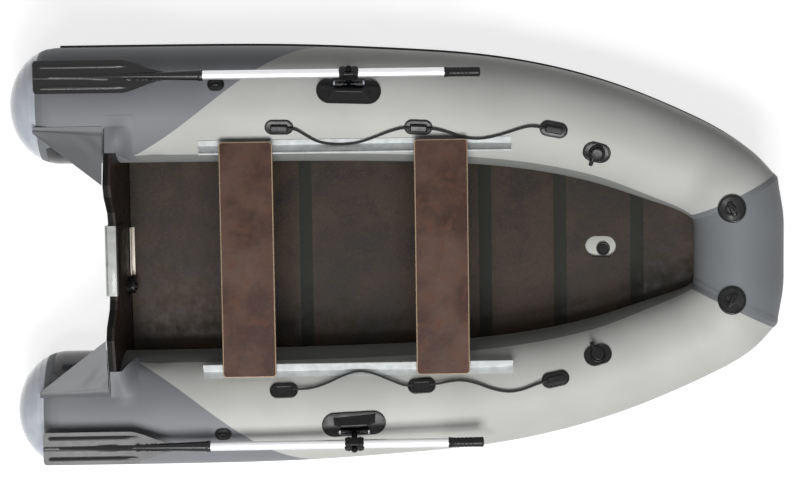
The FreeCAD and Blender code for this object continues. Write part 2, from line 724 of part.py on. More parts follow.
def make_rowlocks():
    pad = stadium(BASE_LENGTH, BASE_W, -PAD_SINK, PAD_SINK + BASE_T)
    wires = []
    for length, y0, z in ((HUMP_L[0], HUMP_Y[0], 0), (HUMP_L[1], HUMP_Y[1], HUMP_H)):
        x, y1 = length / 2, HUMP_Y[2]
        corners = [Vector(-x, y0, z), Vector(x, y0, z), Vector(x, y1, z), Vector(-x, y1, z)]
        wires.append(Part.makePolygon(corners + [corners[0]]))
    hump = Part.makeLoft(wires, True, True)
    base = seated(pad.fuse(hump), (ROWLOCK_X, BASE_Y))
    foot_half = PIN_FOOT_L / 2 + SIDE_PLAY
    clear = cylinder(FOOT_ROOM, HINGE - ALONG * foot_half, ALONG, 2 * foot_half)
    slot = block(HINGE.x - foot_half, HINGE.x + foot_half, HINGE_Y - FOOT_ROOM, HINGE_Y + BASE_W,
                 HINGE_Z, HINGE_Z + BASE_W)
    base = base.cut(clear).cut(slot)
    for sign in (-1, 1):
        inner = HINGE + ALONG * sign * foot_half
        ear = cylinder(EAR_R, inner, ALONG * sign, EAR_L)
        x0 = min(inner.x, inner.x + sign * EAR_L)
        low = HINGE_Z - EAR_DEPTH
        ear = ear.fuse(block(x0, x0 + EAR_L, HINGE_Y - EAR_R, HINGE_Y + EAR_R, low, HINGE_Z))
        base = base.fuse(off_port_tube(ear))
    bar_start = HINGE - ALONG * HINGE_BAR_L / 2
    bar = cylinder(HINGE_BAR_R, bar_start, ALONG, HINGE_BAR_L)
    base = base.cut(bar).removeSplitter()

    foot = cylinder(PIN_FOOT_R, HINGE - ALONG * PIN_FOOT_L / 2, ALONG, PIN_FOOT_L)
    collar_low = PIN_TO_SHAFT - COLLAR_H / 2
    shoulder = cylinder(PIN_FOOT_R, HINGE, PIN_AXIS, collar_low - SIDE_PLAY)
    cap_at = PIN_TO_SHAFT + COLLAR_H / 2 + SIDE_PLAY
    pin = cylinder(PIN_R, HINGE, PIN_AXIS, cap_at + PIN_CAP_L)
    cap = cylinder(PIN_CAP_R, HINGE + PIN_AXIS * cap_at, PIN_AXIS, PIN_CAP_L)
    bore = cylinder(HINGE_BAR_R + RUN_GAP, bar_start, ALONG, HINGE_BAR_L)
    pin = foot.fuse(shoulder).fuse(pin).fuse(cap).cut(bore).removeSplitter()
    export("hinge_bars", Part.makeCompound([bar, mirrored(bar)]))
    for name, side in SIDES.items():
        export(name + "_rowlock_base", on_side(base, side))
        export(name + "_rowlock_pin", on_side(pin, side))


def oar_blade():
    """Blade with a rib along its middle and a round neck, in the oar's own axes."""
    w = BLADE_W / 2
    half = [
        (OAR_AFT_X, w - BLADE_CORNER), (OAR_AFT_X + BLADE_CORNER, w), (BLADE_FULL_X, w),
        (BLADE_NECK_X, NECK_R),
    ]
    points = [Vector(x, -y, -BLADE_EDGE_T / 2) for x, y in half]
    points += [Vector(x, y, -BLADE_EDGE_T / 2) for x, y in reversed(half)]
    blade = prism(points, UP * BLADE_EDGE_T)
    rib_x = OAR_AFT_X + BLADE_RIB_START
    thin, thick = BLADE_RIB_R
    rib = Part.makeCone(thin, thick, BLADE_NECK_X - rib_x, Vector(rib_x, 0, 0), ALONG)
    neck_x = Vector(BLADE_NECK_X, 0, 0)
    neck = Part.makeCone(thick, NECK_R, SHAFT_AFT_X - BLADE_NECK_X, neck_x, ALONG)
    return blade.fuse(rib).fuse(neck)


def make_oars():
    centre = Vector(0, SHAFT_CENTRE.y, SHAFT_CENTRE.z)
    hole = cylinder(PIN_R + RUN_GAP, HINGE, PIN_AXIS, 2 * PIN_TO_SHAFT)
    shaft_start = Vector(SHAFT_AFT_X - SHAFT_OVERLAP, 0, 0)
    shaft_length = GRIP_X - SHAFT_AFT_X + 2 * SHAFT_OVERLAP
    shaft = cylinder(SHAFT_R, shaft_start, ALONG, shaft_length)
    inside = cylinder(SHAFT_R - SHAFT_WALL, shaft_start, ALONG, shaft_length)
    grip_start = Vector(GRIP_X, 0, 0)
    grip = cylinder(GRIP_LIP_R, grip_start, ALONG, GRIP_LIP_L)
    grip = grip.fuse(cylinder(GRIP_R, grip_start, ALONG, OAR_FORE_X - GRIP_X))
    pieces = {
        "oar_shaft": shaft.cut(inside),
        "oar_blade": oar_blade().cut(shaft),
        "oar_grip": grip.cut(shaft),
    }
    for piece in pieces.values():
        piece.translate(centre)
    pieces["oar_shaft"] = pieces["oar_shaft"].cut(hole)

    turn = FreeCAD.Rotation(ALONG, PIN_AXIS.cross(ALONG), PIN_AXIS, "ZXY")
    x, y, z = COLLAR_L / 2, COLLAR_W / 2, COLLAR_H / 2
    collar = block(-x, x, -y, y, -z, z)
    lengthwise = [e for e in collar.Edges if abs(e.tangentAt(0).x) > 0.9]
    collar = collar.makeFillet(COLLAR_FILLET, lengthwise)
    collar.Placement = FreeCAD.Placement(SHAFT_CENTRE, turn)
    bore = cylinder(SHAFT_R, centre + Vector(ROWLOCK_X - COLLAR_L, 0, 0), ALONG, 2 * COLLAR_L)
    pieces["oar_collar"] = collar.cut(bore).cut(hole)
    for name, side in SIDES.items():
        for piece_name, piece in pieces.items():
            export(name + "_" + piece_name, on_side(piece, side))


# Fittings

def rope_holder():
    pad = stadium(HOLDER_L, HOLDER_W, -PAD_SINK, PAD_SINK + HOLDER_PAD_T)
    height = PAD_SINK + HOLDER_BODY_H
    body = stadium(HOLDER_BODY_L, HOLDER_BODY_W, -PAD_SINK, height, HOLDER_BODY_CORNER)
    return pad.fuse(body)


def air_valve():
    pad = stadium(AIR_VALVE_L, AIR_VALVE_W, -PAD_SINK, PAD_SINK + AIR_VALVE_PAD_T)
    steps = [cylinder(radius, Vector(), UP, height) for radius, height in AIR_VALVE_STEPS]
    stub = cylinder(STUB_R, Vector(*STUB_START), Vector(0, 1, 0), STUB_L)
    return pad.fuse(steps + [stub])


def bow_eye():
    pad = cylinder(BOW_EYE_R, Vector(0, 0, -PAD_SINK), UP, PAD_SINK + BOW_EYE_PAD_T)
    length, width, height = BOW_EYE_BOSS
    return pad.fuse(stadium(length, width, -PAD_SINK, PAD_SINK + height, BOW_EYE_CORNER))


def oar_rest():
    pad = stadium(OAR_REST_L, OAR_REST_W, -PAD_SINK, PAD_SINK + OAR_REST_PAD_T)
    length, width, height = OAR_REST_KNOB
    return pad.fuse(stadium(length, width, -PAD_SINK, PAD_SINK + height, OAR_REST_CORNER))


def make_fittings():
    holders = Part.makeCompound([seated(rope_holder(), p) for p in HOLDER_PLACES])
    pieces = {
        "rope_holders": holders,
        "air_valves": seated(air_valve(), AIR_VALVE_PLACE),
        "bow_eyes": seated(bow_eye(), BOW_EYE_PLACE),
        "oar_rests": seated(oar_rest(), OAR_REST_PLACE),
    }
    for name, piece in pieces.items():
        export(name, Part.makeCompound([piece, mirrored(piece)]))


def holder_exit(place, end, side):
    """Where a rope leaves a holder, and the end of its straight run out."""
    placement = surface_placement(*place)
    points = []
    for reach in (0.0, ROPE_STUB):
        point = placement.multVec(Vector(end * (HOLDER_BODY_L / 2 + reach), 0, ROPE_EXIT_H))
        points.append(Vector(point.x, point.y * side, point.z))
    return points


def cord_wire(points):
    """Straight runs joined by tangent arcs, each as large as its two runs allow."""
    edges = []
    radii = []
    start = points[0]
    for before, corner, after in zip(points, points[1:], points[2:]):
        back = (before - corner).normalize()
        ahead = (after - corner).normalize()
        half_turn = (math.pi - back.getAngle(ahead)) / 2
        shorter = min(before.distanceToPoint(corner), after.distanceToPoint(corner))
        reach = 0.45 * shorter
        radius = reach / math.tan(half_turn)
        bisector = (back + ahead).normalize()
        centre = corner + bisector * (radius / math.cos(half_turn))
        middle = centre - bisector * radius
        edges.append(Part.makeLine(start, corner + back * reach))
        edges.append(Part.Arc(corner + back * reach, middle, corner + ahead * reach).toShape())
        start = corner + ahead * reach
        radii.append(radius)
    edges.append(Part.makeLine(start, points[-1]))
    return Part.Wire(edges), radii


def make_life_lines():
    for name, route in LIFE_LINES.items():
        side = PORT if name.startswith("port") else STARBOARD
        first = 0 if name.endswith("aft") else 1
        begin = holder_exit(HOLDER_PLACES[first], 1, side)
        end = holder_exit(HOLDER_PLACES[first + 1], -1, side)
        points = begin + [Vector(*p) for p in route] + list(reversed(end))
        path, radii = cord_wire(points)
        section = Part.Wire([Part.Circle(points[0], points[1] - points[0], ROPE_R).toShape()])
        rope = path.makePipeShell([section], True, True)
        length = path.Length
        print("%s length %.1f volume share %.4f radii %s" % (
            name, length, rope.Volume / (math.pi * ROPE_R ** 2 * length),
            " ".join("%.0f" % r for r in radii)))
        print("   route " + " ".join("(%.1f, %.1f, %.1f)" % tuple(p) for p in points))
        export(name, rope)


make_tubes()
make_strakes()
make_bottom()
make_floor()
make_transom()
make_rails()
make_seats()
make_rowlocks()
make_oars()
make_fittings()
make_life_lines()
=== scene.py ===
"""Inflatable rowing boat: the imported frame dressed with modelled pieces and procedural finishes."""

import json
import logging
import math
from dataclasses import dataclass, field
from enum import Enum
from typing import Callable, ClassVar, Optional, Sequence

import bpy
import numpy as np
from mathutils import Euler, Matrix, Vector

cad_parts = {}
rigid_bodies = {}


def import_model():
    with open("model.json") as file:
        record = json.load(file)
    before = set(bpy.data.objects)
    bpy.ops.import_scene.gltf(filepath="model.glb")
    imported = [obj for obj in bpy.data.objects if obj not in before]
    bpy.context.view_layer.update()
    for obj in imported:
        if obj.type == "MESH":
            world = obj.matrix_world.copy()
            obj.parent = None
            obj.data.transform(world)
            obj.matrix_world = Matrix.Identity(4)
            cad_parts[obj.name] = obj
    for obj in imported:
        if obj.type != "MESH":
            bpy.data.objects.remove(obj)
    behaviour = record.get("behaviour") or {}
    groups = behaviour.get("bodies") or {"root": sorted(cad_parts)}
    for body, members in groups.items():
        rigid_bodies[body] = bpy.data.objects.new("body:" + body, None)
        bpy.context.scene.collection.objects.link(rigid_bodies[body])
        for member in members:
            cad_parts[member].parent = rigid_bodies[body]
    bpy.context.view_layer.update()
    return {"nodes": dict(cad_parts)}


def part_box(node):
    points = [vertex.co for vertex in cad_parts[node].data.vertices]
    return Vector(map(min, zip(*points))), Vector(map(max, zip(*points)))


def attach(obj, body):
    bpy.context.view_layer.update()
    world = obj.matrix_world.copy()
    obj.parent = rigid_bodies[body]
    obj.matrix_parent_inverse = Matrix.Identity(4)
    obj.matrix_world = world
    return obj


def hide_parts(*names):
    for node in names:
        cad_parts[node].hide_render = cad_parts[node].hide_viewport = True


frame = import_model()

LOG = logging.getLogger("boat")
MM = 0.001
WHITE = (1.0, 1.0, 1.0, 1.0)

Array = np.ndarray
Placer = Callable[[Array, Array], Array]
Pair = tuple[float, float]
Triple = tuple[float, float, float]
Rings = Sequence[Pair]
Piece = bpy.types.Object
Tree = bpy.types.NodeTree
Socket = bpy.types.NodeSocket
Inputs = dict[object, object]


class Side(Enum):
    """Side of the boat, as the sign of Y."""

    PORT = 1
    STARBOARD = -1

    @property
    def word(self) -> str:
        """Return the side's name as the nodes spell it."""
        return self.name.lower()


# ---- colour and shader helpers


def linear(code: str) -> tuple[float, float, float, float]:
    """Turn an sRGB colour into linear values.

    Args:
        code: Colour as "#rrggbb".

    Returns:
        Linear red, green, blue and an alpha of one.
    """
    values = [int(code[i:i + 2], 16) / 255 for i in (1, 3, 5)]
    red, green, blue = (v / 12.92 if v <= 0.04045 else ((v + 0.055) / 1.055) ** 2.4 for v in values)
    return (red, green, blue, 1.0)


def add(tree: Tree, kind: str, inputs: Inputs, out: object = 0, **settings: object) -> Optional[Socket]:
    """Add a node with its settings and links.

    Args:
        tree: Node tree that takes the node.
        kind: End of Blender's type name for the node.
        inputs: Value or socket for each input, by its name or index.
        out: Name or index of the output that is wanted.
        **settings: The node's own attributes.

    Returns:
        That output's socket, or None for a node without outputs.
    """
    node = tree.nodes.new(f"ShaderNode{kind}")
    for key, value in settings.items():
        setattr(node, key, value)
    for key, value in inputs.items():
        if isinstance(value, Socket):
            tree.links.new(value, node.inputs[key])
        else:
            node.inputs[key].default_value = value
    return node.outputs[out] if len(node.outputs) else None


def per(size_mm: float) -> float:
    """Return the noise scale whose largest blotches have that size."""
    return 1000.0 / size_mm


def layered(tree: Tree, pattern: Socket, span: Pair, under: object, over: object, most: float = 1.0) -> Socket:
    """Lay one colour over another where a pattern is strong.

    Args:
        tree: Node tree that takes the nodes.
        pattern: The pattern's value.
        span: Values of the pattern where the upper colour starts and where it is full.
        under: Lower colour, linear or a socket.
        over: Upper colour, linear or a socket.
        most: The upper colour's share where it is full.

    Returns:
        The colour's socket.
    """
    share = add(tree, "MapRange", {0: pattern, 1: span[0], 2: span[1], 3: 0.0, 4: most})
    return add(tree, "Mix", {0: share, 6: under, 7: over}, 2, data_type="RGBA")


def varied(tree: Tree, pattern: Socket, low: float, high: float) -> Socket:
    """Map a noise's middle range, where nearly all of it lies, onto a range of values."""
    return add(tree, "MapRange", {0: pattern, 1: 0.3, 2: 0.7, 3: low, 4: high})


def shaded(tree: Tree, colour: object, shade: Socket) -> Socket:
    """Multiply a colour by a shade around one."""
    return add(tree, "Mix", {0: 1.0, 6: colour, 7: shade}, 2, data_type="RGBA", blend_type="MULTIPLY")


class Finish:
    """Base of all finishes: makes its material once and hands it out."""

    name: str
    roughness: float
    specular: ClassVar[float] = 0.5

    def material(self) -> bpy.types.Material:
        """Make this finish's material on first use.

        Returns:
            The material.
        """
        made = bpy.data.materials.get(self.name)
        if not made:
            made = bpy.data.materials.new(self.name)
            made.use_nodes = True
            tree = made.node_tree
            tree.nodes.clear()
            inputs = {"Roughness": self.roughness, "Specular IOR Level": self.specular, **self.inputs(tree)}
            add(tree, "OutputMaterial", {"Surface": add(tree, "BsdfPrincipled", inputs)})
        return made

    def inputs(self, tree: Tree) -> Inputs:
        """Add this finish's nodes.

        Args:
            tree: The material's node tree.

        Returns:
            Values and sockets for the shader's inputs.
        """
        raise NotImplementedError


# ---- finishes, each named for the real material and how it was made


@dataclass(frozen=True)
class CoatedFabric(Finish):
    """PVC-coated polyester cloth, calendered: a soft gloss over a faint weave, with slight waves."""

    name: str
    colour: str
    roughness: float = 0.52
    weave_mm: float = 1.4  # real threads lie 0.9 mm apart, drawn coarser so that they show
    wave_mm: float = 0.5  # depth of the waves
    specular: float = 0.28

    def colours(self, tree: Tree) -> object:
        """Return the cloth's colour, as a linear colour or a socket."""
        return linear(self.colour)

    def inputs(self, tree: Tree) -> Inputs:
        """Add colour drift, weave and waves.

        Args:
            tree: The material's node tree.

        Returns:
            Values and sockets for the shader's inputs.
        """
        place = add(tree, "TexCoord", {}, "Object")
        drift = add(tree, "TexNoise", {"Vector": place, "Scale": per(260.0), "Detail": 2.0})
        waves = add(tree, "TexNoise", {"Vector": place, "Scale": per(140.0), "Detail": 1.0})
        weave = add(tree, "TexNoise", {"Vector": place, "Scale": per(self.weave_mm), "Detail": 1.0})
        broad = add(tree, "Bump", {"Height": waves, "Strength": 1.0, "Distance": self.wave_mm * MM})
        fine = add(tree, "Bump", {"Height": weave, "Strength": 1.0, "Distance": 0.02 * MM, "Normal": broad})
        return {"Base Color": shaded(tree, self.colours(tree), varied(tree, drift, 0.93, 1.04)), "Normal": fine}


@dataclass(frozen=True)
class TubeFabric(CoatedFabric):
    """The side tubes' cloth, with a dark stern part, pale sides and a grey band below them.

    It reads the piece's UV map: U is the place along the boat in metres, V the angle round the
    tube from its top, outboard, in hundreds of degrees.
    """

    pale: str = "#C9CAC6"
    band: str = "#8E908E"
    seam: str = "#3B3D40"
    split_x: float = -0.668  # where the dark part ends on top of the tube, in metres
    split_slope: float = 0.47  # metres for each unit of V
    band_v: float = -0.585
    seam_m: float = 0.0022

    def colours(self, tree: Tree) -> Socket:
        """Choose dark, pale or band grey by the place on the tube.

        Args:
            tree: The material's node tree.

        Returns:
            The colour's socket.
        """
        u, v, _ = add(tree, "SeparateXYZ", {0: add(tree, "TexCoord", {}, "UV")}).node.outputs
        edge = add(tree, "Math", {0: v, 1: self.split_slope, 2: self.split_x}, operation="MULTIPLY_ADD")
        past = add(tree, "Math", {0: u, 1: edge}, operation="SUBTRACT")
        low = add(tree, "Math", {0: v, 1: self.band_v}, operation="SUBTRACT")
        sides = layered(tree, low, (0.003, -0.003), linear(self.pale), linear(self.band))
        cloth = layered(tree, past, (-0.001, 0.001), linear(self.colour), sides)
        off_split = add(tree, "Math", {0: past}, operation="ABSOLUTE")
        off_band = add(tree, "Math", {0: add(tree, "Math", {0: low}, operation="ABSOLUTE"), 1: 0.35},
                       operation="MULTIPLY")
        nearest = add(tree, "Math", {0: off_split, 1: off_band}, operation="MINIMUM")
        return layered(tree, nearest, (self.seam_m, 0.5 * self.seam_m), cloth, linear(self.seam), 0.25)


@dataclass(frozen=True)
class Moulded(Finish):
    """Moulded rubber or plastic: a fine spark-eroded grain and slightly uneven gloss."""

    name: str
    colour: str
    roughness: float = 0.45
    grain_mm: float = 1.2
    grain_depth_mm: float = 0.04
    coat: float = 0.0
    specular: float = 0.5
    uneven: float = 0.08  # how much the roughness drifts

    def inputs(self, tree: Tree) -> Inputs:
        """Add colour, grain and uneven gloss.

        Args:
            tree: The material's node tree.

        Returns:
            Values and sockets for the shader's inputs.
        """
        place = add(tree, "TexCoord", {}, "Object")
        patches = add(tree, "TexNoise", {"Vector": place, "Scale": per(30.0), "Detail": 3.0})
        grain = add(tree, "TexNoise", {"Vector": place, "Scale": per(self.grain_mm), "Detail": 2.0})
        return {"Base Color": shaded(tree, linear(self.colour), varied(tree, patches, 0.86, 1.1)),
                "Roughness": varied(tree, patches, self.roughness - self.uneven, self.roughness + self.uneven),
                "Coat Weight": self.coat,
                "Normal": add(tree, "Bump", {"Height": grain, "Strength": 1.0,
                                             "Distance": self.grain_depth_mm * MM})}


@dataclass(frozen=True)
class TwoToneEdging(Moulded):
    """Co-extruded edging of the transom: black on top and inside, pale on its aft face."""

    pale: str = "#CDD0D2"
    aft_x: float = -1.0355  # where the aft face of the top begins, in metres
    rake: float = 0.0664  # how far the board leans forward for each metre down
    top_z: float = 0.45

    def inputs(self, tree: Tree) -> Inputs:
        """Add the pale face to the moulded finish.

        Args:
            tree: The material's node tree.

        Returns:
            Values and sockets for the shader's inputs.
        """
        made = super().inputs(tree)
        x, _, z = add(tree, "SeparateXYZ", {0: add(tree, "TexCoord", {}, "Object")}).node.outputs
        down = add(tree, "Math", {0: self.top_z, 1: z}, operation="SUBTRACT")
        face = add(tree, "Math", {0: down, 1: self.rake, 2: self.aft_x}, operation="MULTIPLY_ADD")
        behind = add(tree, "Math", {0: face, 1: x}, operation="SUBTRACT")
        made["Base Color"] = layered(tree, behind, (-0.0003, 0.0003), made["Base Color"], linear(self.pale))
        return made


@dataclass(frozen=True)
class CapFabric(Finish):
    """Thick glossy cloth stretched over the stern cone, with soft waves. Its pale colour and bluish blotches are a
    painted sheen: the lamps' reflection on the cone's grey cloth.
    """

    name: str
    colour: str
    roughness: float = 0.2
    drift: str = "#A2AABD"
    coat: float = 0.6

    def inputs(self, tree: Tree) -> Inputs:
        """Add a bluish drift, which on the cone is part of the painted sheen, waves and a clear coat.

        Args:
            tree: The material's node tree.

        Returns:
            Values and sockets for the shader's inputs.
        """
        place = add(tree, "TexCoord", {}, "Object")
        blotches = add(tree, "TexNoise", {"Vector": place, "Scale": per(120.0), "Detail": 2.0})
        waves = add(tree, "TexNoise", {"Vector": place, "Scale": per(60.0), "Detail": 1.0})
        return {"Base Color": layered(tree, blotches, (0.35, 0.65), linear(self.colour), linear(self.drift)),
                "Coat Weight": self.coat, "Coat Roughness": 0.08,
                "Normal": add(tree, "Bump", {"Height": waves, "Strength": 1.0, "Distance": 0.8 * MM})}


@dataclass(frozen=True)
class FilmPly(Finish):
    """Plywood faced with phenolic film: brown, mottled, scuffed along its length."""

    name: str
    colour: str
    second: str
    blotch: str
    roughness: float = 0.42
    specular: float = 0.22
    scuff: str = "#6E5443"

    def inputs(self, tree: Tree) -> Inputs:
        """Add large mottling, blotches and fine scuffs.

        Args:
            tree: The material's node tree.

        Returns:
            Values and sockets for the shader's inputs.
        """
        place = add(tree, "TexCoord", {}, "Object")
        clouds, spots, fine = (
            add(tree, "TexNoise", {"Vector": place, "Scale": per(size), "Detail": detail, "Roughness": rough})
            for size, detail, rough in ((170.0, 4.0, 0.6), (42.0, 5.0, 0.62), (6.0, 4.0, 0.7)))
        base = layered(tree, clouds, (0.4, 0.6), linear(self.colour), linear(self.second))
        base = layered(tree, spots, (0.5, 0.66), base, linear(self.blotch), 0.7)
        base = layered(tree, fine, (0.52, 0.8), base, linear(self.scuff), 0.4)
        gloss = add(tree, "MapRange", {0: spots, 1: 0.35, 2: 0.7, 3: self.roughness - 0.08,
                                       4: self.roughness + 0.12})
        along = add(tree, "Mapping", {"Vector": place, "Scale": (1.0, 14.0, 14.0)})
        scuffs = add(tree, "TexNoise", {"Vector": along, "Scale": per(90.0), "Detail": 4.0})
        first = add(tree, "Bump", {"Height": scuffs, "Strength": 1.0, "Distance": 0.06 * MM})
        both = add(tree, "Bump", {"Height": fine, "Strength": 1.0, "Distance": 0.05 * MM, "Normal": first})
        return {"Base Color": base, "Roughness": gloss, "Normal": both}


@dataclass(frozen=True)
class PlyEdge(Finish):
    """Sealed plywood edge: pale veneers with darker glue lines, stacked in Z."""

    name: str
    colour: str = "#D6C3A8"
    grain: str = "#B49A7C"
    glue: str = "#8A6B52"
    roughness: float = 0.55
    veneer_mm: float = 1.5

    def inputs(self, tree: Tree) -> Inputs:
        """Add veneer lines and grain.

        Args:
            tree: The material's node tree.

        Returns:
            Values and sockets for the shader's inputs.
        """
        place = add(tree, "TexCoord", {}, "Object")
        height = add(tree, "SeparateXYZ", {0: place}, 2)
        layers = add(tree, "Math", {0: height, 1: per(self.veneer_mm) / 2}, operation="MULTIPLY")
        off = add(tree, "Math", {0: add(tree, "Math", {0: layers}, operation="FRACT"), 1: 0.5},
                  operation="SUBTRACT")
        line = add(tree, "Math", {0: off}, operation="ABSOLUTE")
        grain = add(tree, "TexNoise", {"Vector": place, "Scale": per(9.0), "Detail": 4.0})
        wood = layered(tree, grain, (0.0, 1.0), linear(self.colour), linear(self.grain))
        return {"Base Color": layered(tree, line, (0.1, 0.2), linear(self.glue), wood),
                "Normal": add(tree, "Bump", {"Height": grain, "Strength": 1.0, "Distance": 0.1 * MM})}


@dataclass(frozen=True)
class Metal(Finish):
    """Drawn or turned metal: fine lines along X, slightly uneven gloss."""

    name: str
    colour: str
    roughness: float = 0.3
    line_mm: float = 0.8

    def inputs(self, tree: Tree) -> Inputs:
        """Add drawing lines and uneven gloss.

        Args:
            tree: The material's node tree.

        Returns:
            Values and sockets for the shader's inputs.
        """
        along = add(tree, "Mapping", {"Vector": add(tree, "TexCoord", {}, "Object"), "Scale": (0.02, 1.0, 1.0)})
        lines = add(tree, "TexNoise", {"Vector": along, "Scale": per(self.line_mm), "Detail": 2.0})
        return {"Base Color": shaded(tree, linear(self.colour), varied(tree, lines, 0.9, 1.04)),
                "Metallic": 1.0,
                "Roughness": varied(tree, lines, self.roughness - 0.06, self.roughness + 0.08),
                "Normal": add(tree, "Bump", {"Height": lines, "Strength": 1.0, "Distance": 0.01 * MM})}


@dataclass(frozen=True)
class Braid(Finish):
    """Braided polyester rope: crossing strands with painted shade between them, read from the cord's own UV map."""

    name: str
    colour: str
    # darker colour between the strands: painted shade in the gaps
    gap: str = "#030304"
    roughness: float = 0.7
    strands: float = 8.0
    pitch_per_length: float = 90.0

    def inputs(self, tree: Tree) -> Inputs:
        """Add the strands' lattice as bump, and as colour with painted shade between the strands.

        Args:
            tree: The material's node tree.

        Returns:
            Values and sockets for the shader's inputs.
        """
        u, v, _ = add(tree, "SeparateXYZ", {0: add(tree, "TexCoord", {}, "UV")}).node.outputs
        along = add(tree, "Math", {0: u, 1: self.pitch_per_length * math.tau}, operation="MULTIPLY")
        round_it = add(tree, "Math", {0: v, 1: self.strands * math.tau}, operation="MULTIPLY")
        one, two = (add(tree, "Math", {0: add(tree, "Math", {0: along, 1: round_it}, operation=sign)},
                        operation="SINE") for sign in ("ADD", "SUBTRACT"))
        weave = add(tree, "Math", {0: one, 1: two}, operation="MAXIMUM", use_clamp=True)
        return {"Base Color": layered(tree, weave, (0.0, 1.0), linear(self.gap), linear(self.colour)),
                "Sheen Weight": 0.05,
                "Normal": add(tree, "Bump", {"Height": weave, "Strength": 1.0, "Distance": 0.4 * MM})}


TUBE = TubeFabric("pvc_cloth_tube", "#85878B")
BOW_CLOTH = CoatedFabric("pvc_cloth_bow", "#7E8184")
SEAM_CLOTH = CoatedFabric("pvc_seam_tape", "#7C7F82")
# glossy black sheet on the tubes' inner sides aft of the transom: painted shade, where that side lies in shadow
SHADE_PATCH = CapFabric("pvc_patch_glossy_black", "#06070B", 0.14, "#0D0E15", 0.0)
BOTTOM_CLOTH = CoatedFabric("pvc_cloth_bottom", "#4A4D50", 0.5)
KEEL_CLOTH = CoatedFabric("pvc_cloth_keel", "#C2C3BE", 0.45)
FOLD_CLOTH = CoatedFabric("pvc_cloth_fold", "#85878B", wave_mm=1.2)
GUSSET_CLOTH = CoatedFabric("pvc_cloth_gusset", "#7C7D7F", 0.46, wave_mm=0.8)
# pale bluish colour of the stern cones: painted reflection, standing for the lamps' sheen on the tubes' grey cloth
CAP_PAINTED_SHEEN = CapFabric("pvc_cone_glossy", "#D2D6DF", drift="#AEB5C6")
STRAKE = Moulded("epdm_strake_extruded", "#0C0D0E", 0.5, 1.6, 0.05, 0.0, 0.2)
FITTING = Moulded("pvc_fitting_moulded", "#08090A", 0.3, 1.4, 0.03, 0.0, 0.3)
NYLON = Moulded("nylon_moulded", "#08080A", 0.33, 1.0, 0.03, 0.0, 0.25)
BLADE = Moulded("nylon_blade_moulded", "#0A0808", 0.24, 2.4, 0.004, 0.0, 0.36, 0.01)
DARK_PLATE = Moulded("abs_inner_plate_moulded", "#15110F", 0.4, 1.4, 0.04, 0.0, 0.25)
PLATE = Moulded("abs_motor_plate_moulded", "#BFC1BE", 0.35, 1.6, 0.05, 0.2)
COVER = TwoToneEdging("pvc_edging_extruded", "#070605", 0.5, 1.4, 0.03, 0.0, 0.12)
RAIL = Moulded("pvc_bolt_rope_rail_welded", "#D9DCDC", 0.55, 1.4, 0.02, 0.0, 0.3)
JOINT = Moulded("pvc_joint_profile_extruded", "#23251F", 0.5, 1.6, 0.05, 0.0, 0.15)
FLOOR_PLY = FilmPly("phenolic_film_ply_floor", "#1D1713", "#37291E", "#2A2718")
SEAT_PLY = FilmPly("phenolic_film_ply_seat", "#45302A", "#614C43", "#65463A", 0.62, 0.16)
TRANSOM_PLY = FilmPly("phenolic_film_ply_transom", "#16110F", "#201917", "#0F0C0A", 0.4)
PLY_EDGE = PlyEdge("sealed_ply_edge")
ALLOY = Metal("anodised_aluminium_tube", "#E4E3E6", 0.42)
FOOT_ALLOY = Metal("extruded_aluminium_angle", "#BDB6AA", 0.55)
STEEL = Metal("stainless_steel_turned", "#8D9096", 0.4)
BLACK_STEEL = Metal("black_oxide_steel", "#1B1C1F", 0.38)
ROPE = Braid("braided_polyester_rope", "#0A0B0E")


# ---- modelling helpers


def alone(piece: Piece) -> Piece:
    """Make a piece the only selected and active object.

    Args:
        piece: Mesh object.

    Returns:
        The piece.
    """
    for other in bpy.context.view_layer.objects:
        other.select_set(False)
    piece.select_set(True)
    bpy.context.view_layer.objects.active = piece
    return piece


def primitive(kind: str, **sizes: object) -> Piece:
    """Add a mesh primitive with nothing else selected.

    Args:
        kind: End of the operator's name, such as "cube".
        **sizes: The operator's own arguments.

    Returns:
        The new object, selected and active.
    """
    for other in bpy.context.view_layer.objects:
        other.select_set(False)
    getattr(bpy.ops.mesh, f"primitive_{kind}_add")(**sizes)
    return bpy.context.object


def coordinates(piece: Piece) -> Array:
    """Read a piece's vertices.

    Args:
        piece: Mesh object.

    Returns:
        One row of X, Y and Z for each vertex.
    """
    flat = np.empty(3 * len(piece.data.vertices))
    piece.data.vertices.foreach_get("co", flat)
    return flat.reshape(-1, 3)


def reshaped(piece: Piece, places: Array) -> Piece:
    """Move a piece's vertices.

    Args:
        piece: Mesh object.
        places: One row of X, Y and Z for each vertex.

    Returns:
        The piece.
    """
    piece.data.vertices.foreach_set("co", np.ascontiguousarray(places, dtype=float).ravel())
    piece.data.update()
    return piece


def in_edit(piece: Piece, *steps: Callable[[], object], every: bool = True) -> Piece:
    """Run edit-mode operators on a piece.

    Args:
        piece: Mesh object.
        *steps: Calls made in edit mode, in order.
        every: Whether everything is selected first.

    Returns:
        The piece.
    """
    alone(piece)
    bpy.ops.object.mode_set(mode="EDIT")
    if every:
        bpy.ops.mesh.select_all(action="SELECT")
    for step in steps:
        step()
    bpy.ops.object.mode_set(mode="OBJECT")
    return piece


def outward(piece: Piece) -> Piece:
    """Merge a closed piece's doubles and turn its faces outwards."""
    return in_edit(piece, lambda: bpy.ops.mesh.remove_doubles(threshold=2e-6),
                   lambda: bpy.ops.mesh.normals_make_consistent(inside=False))


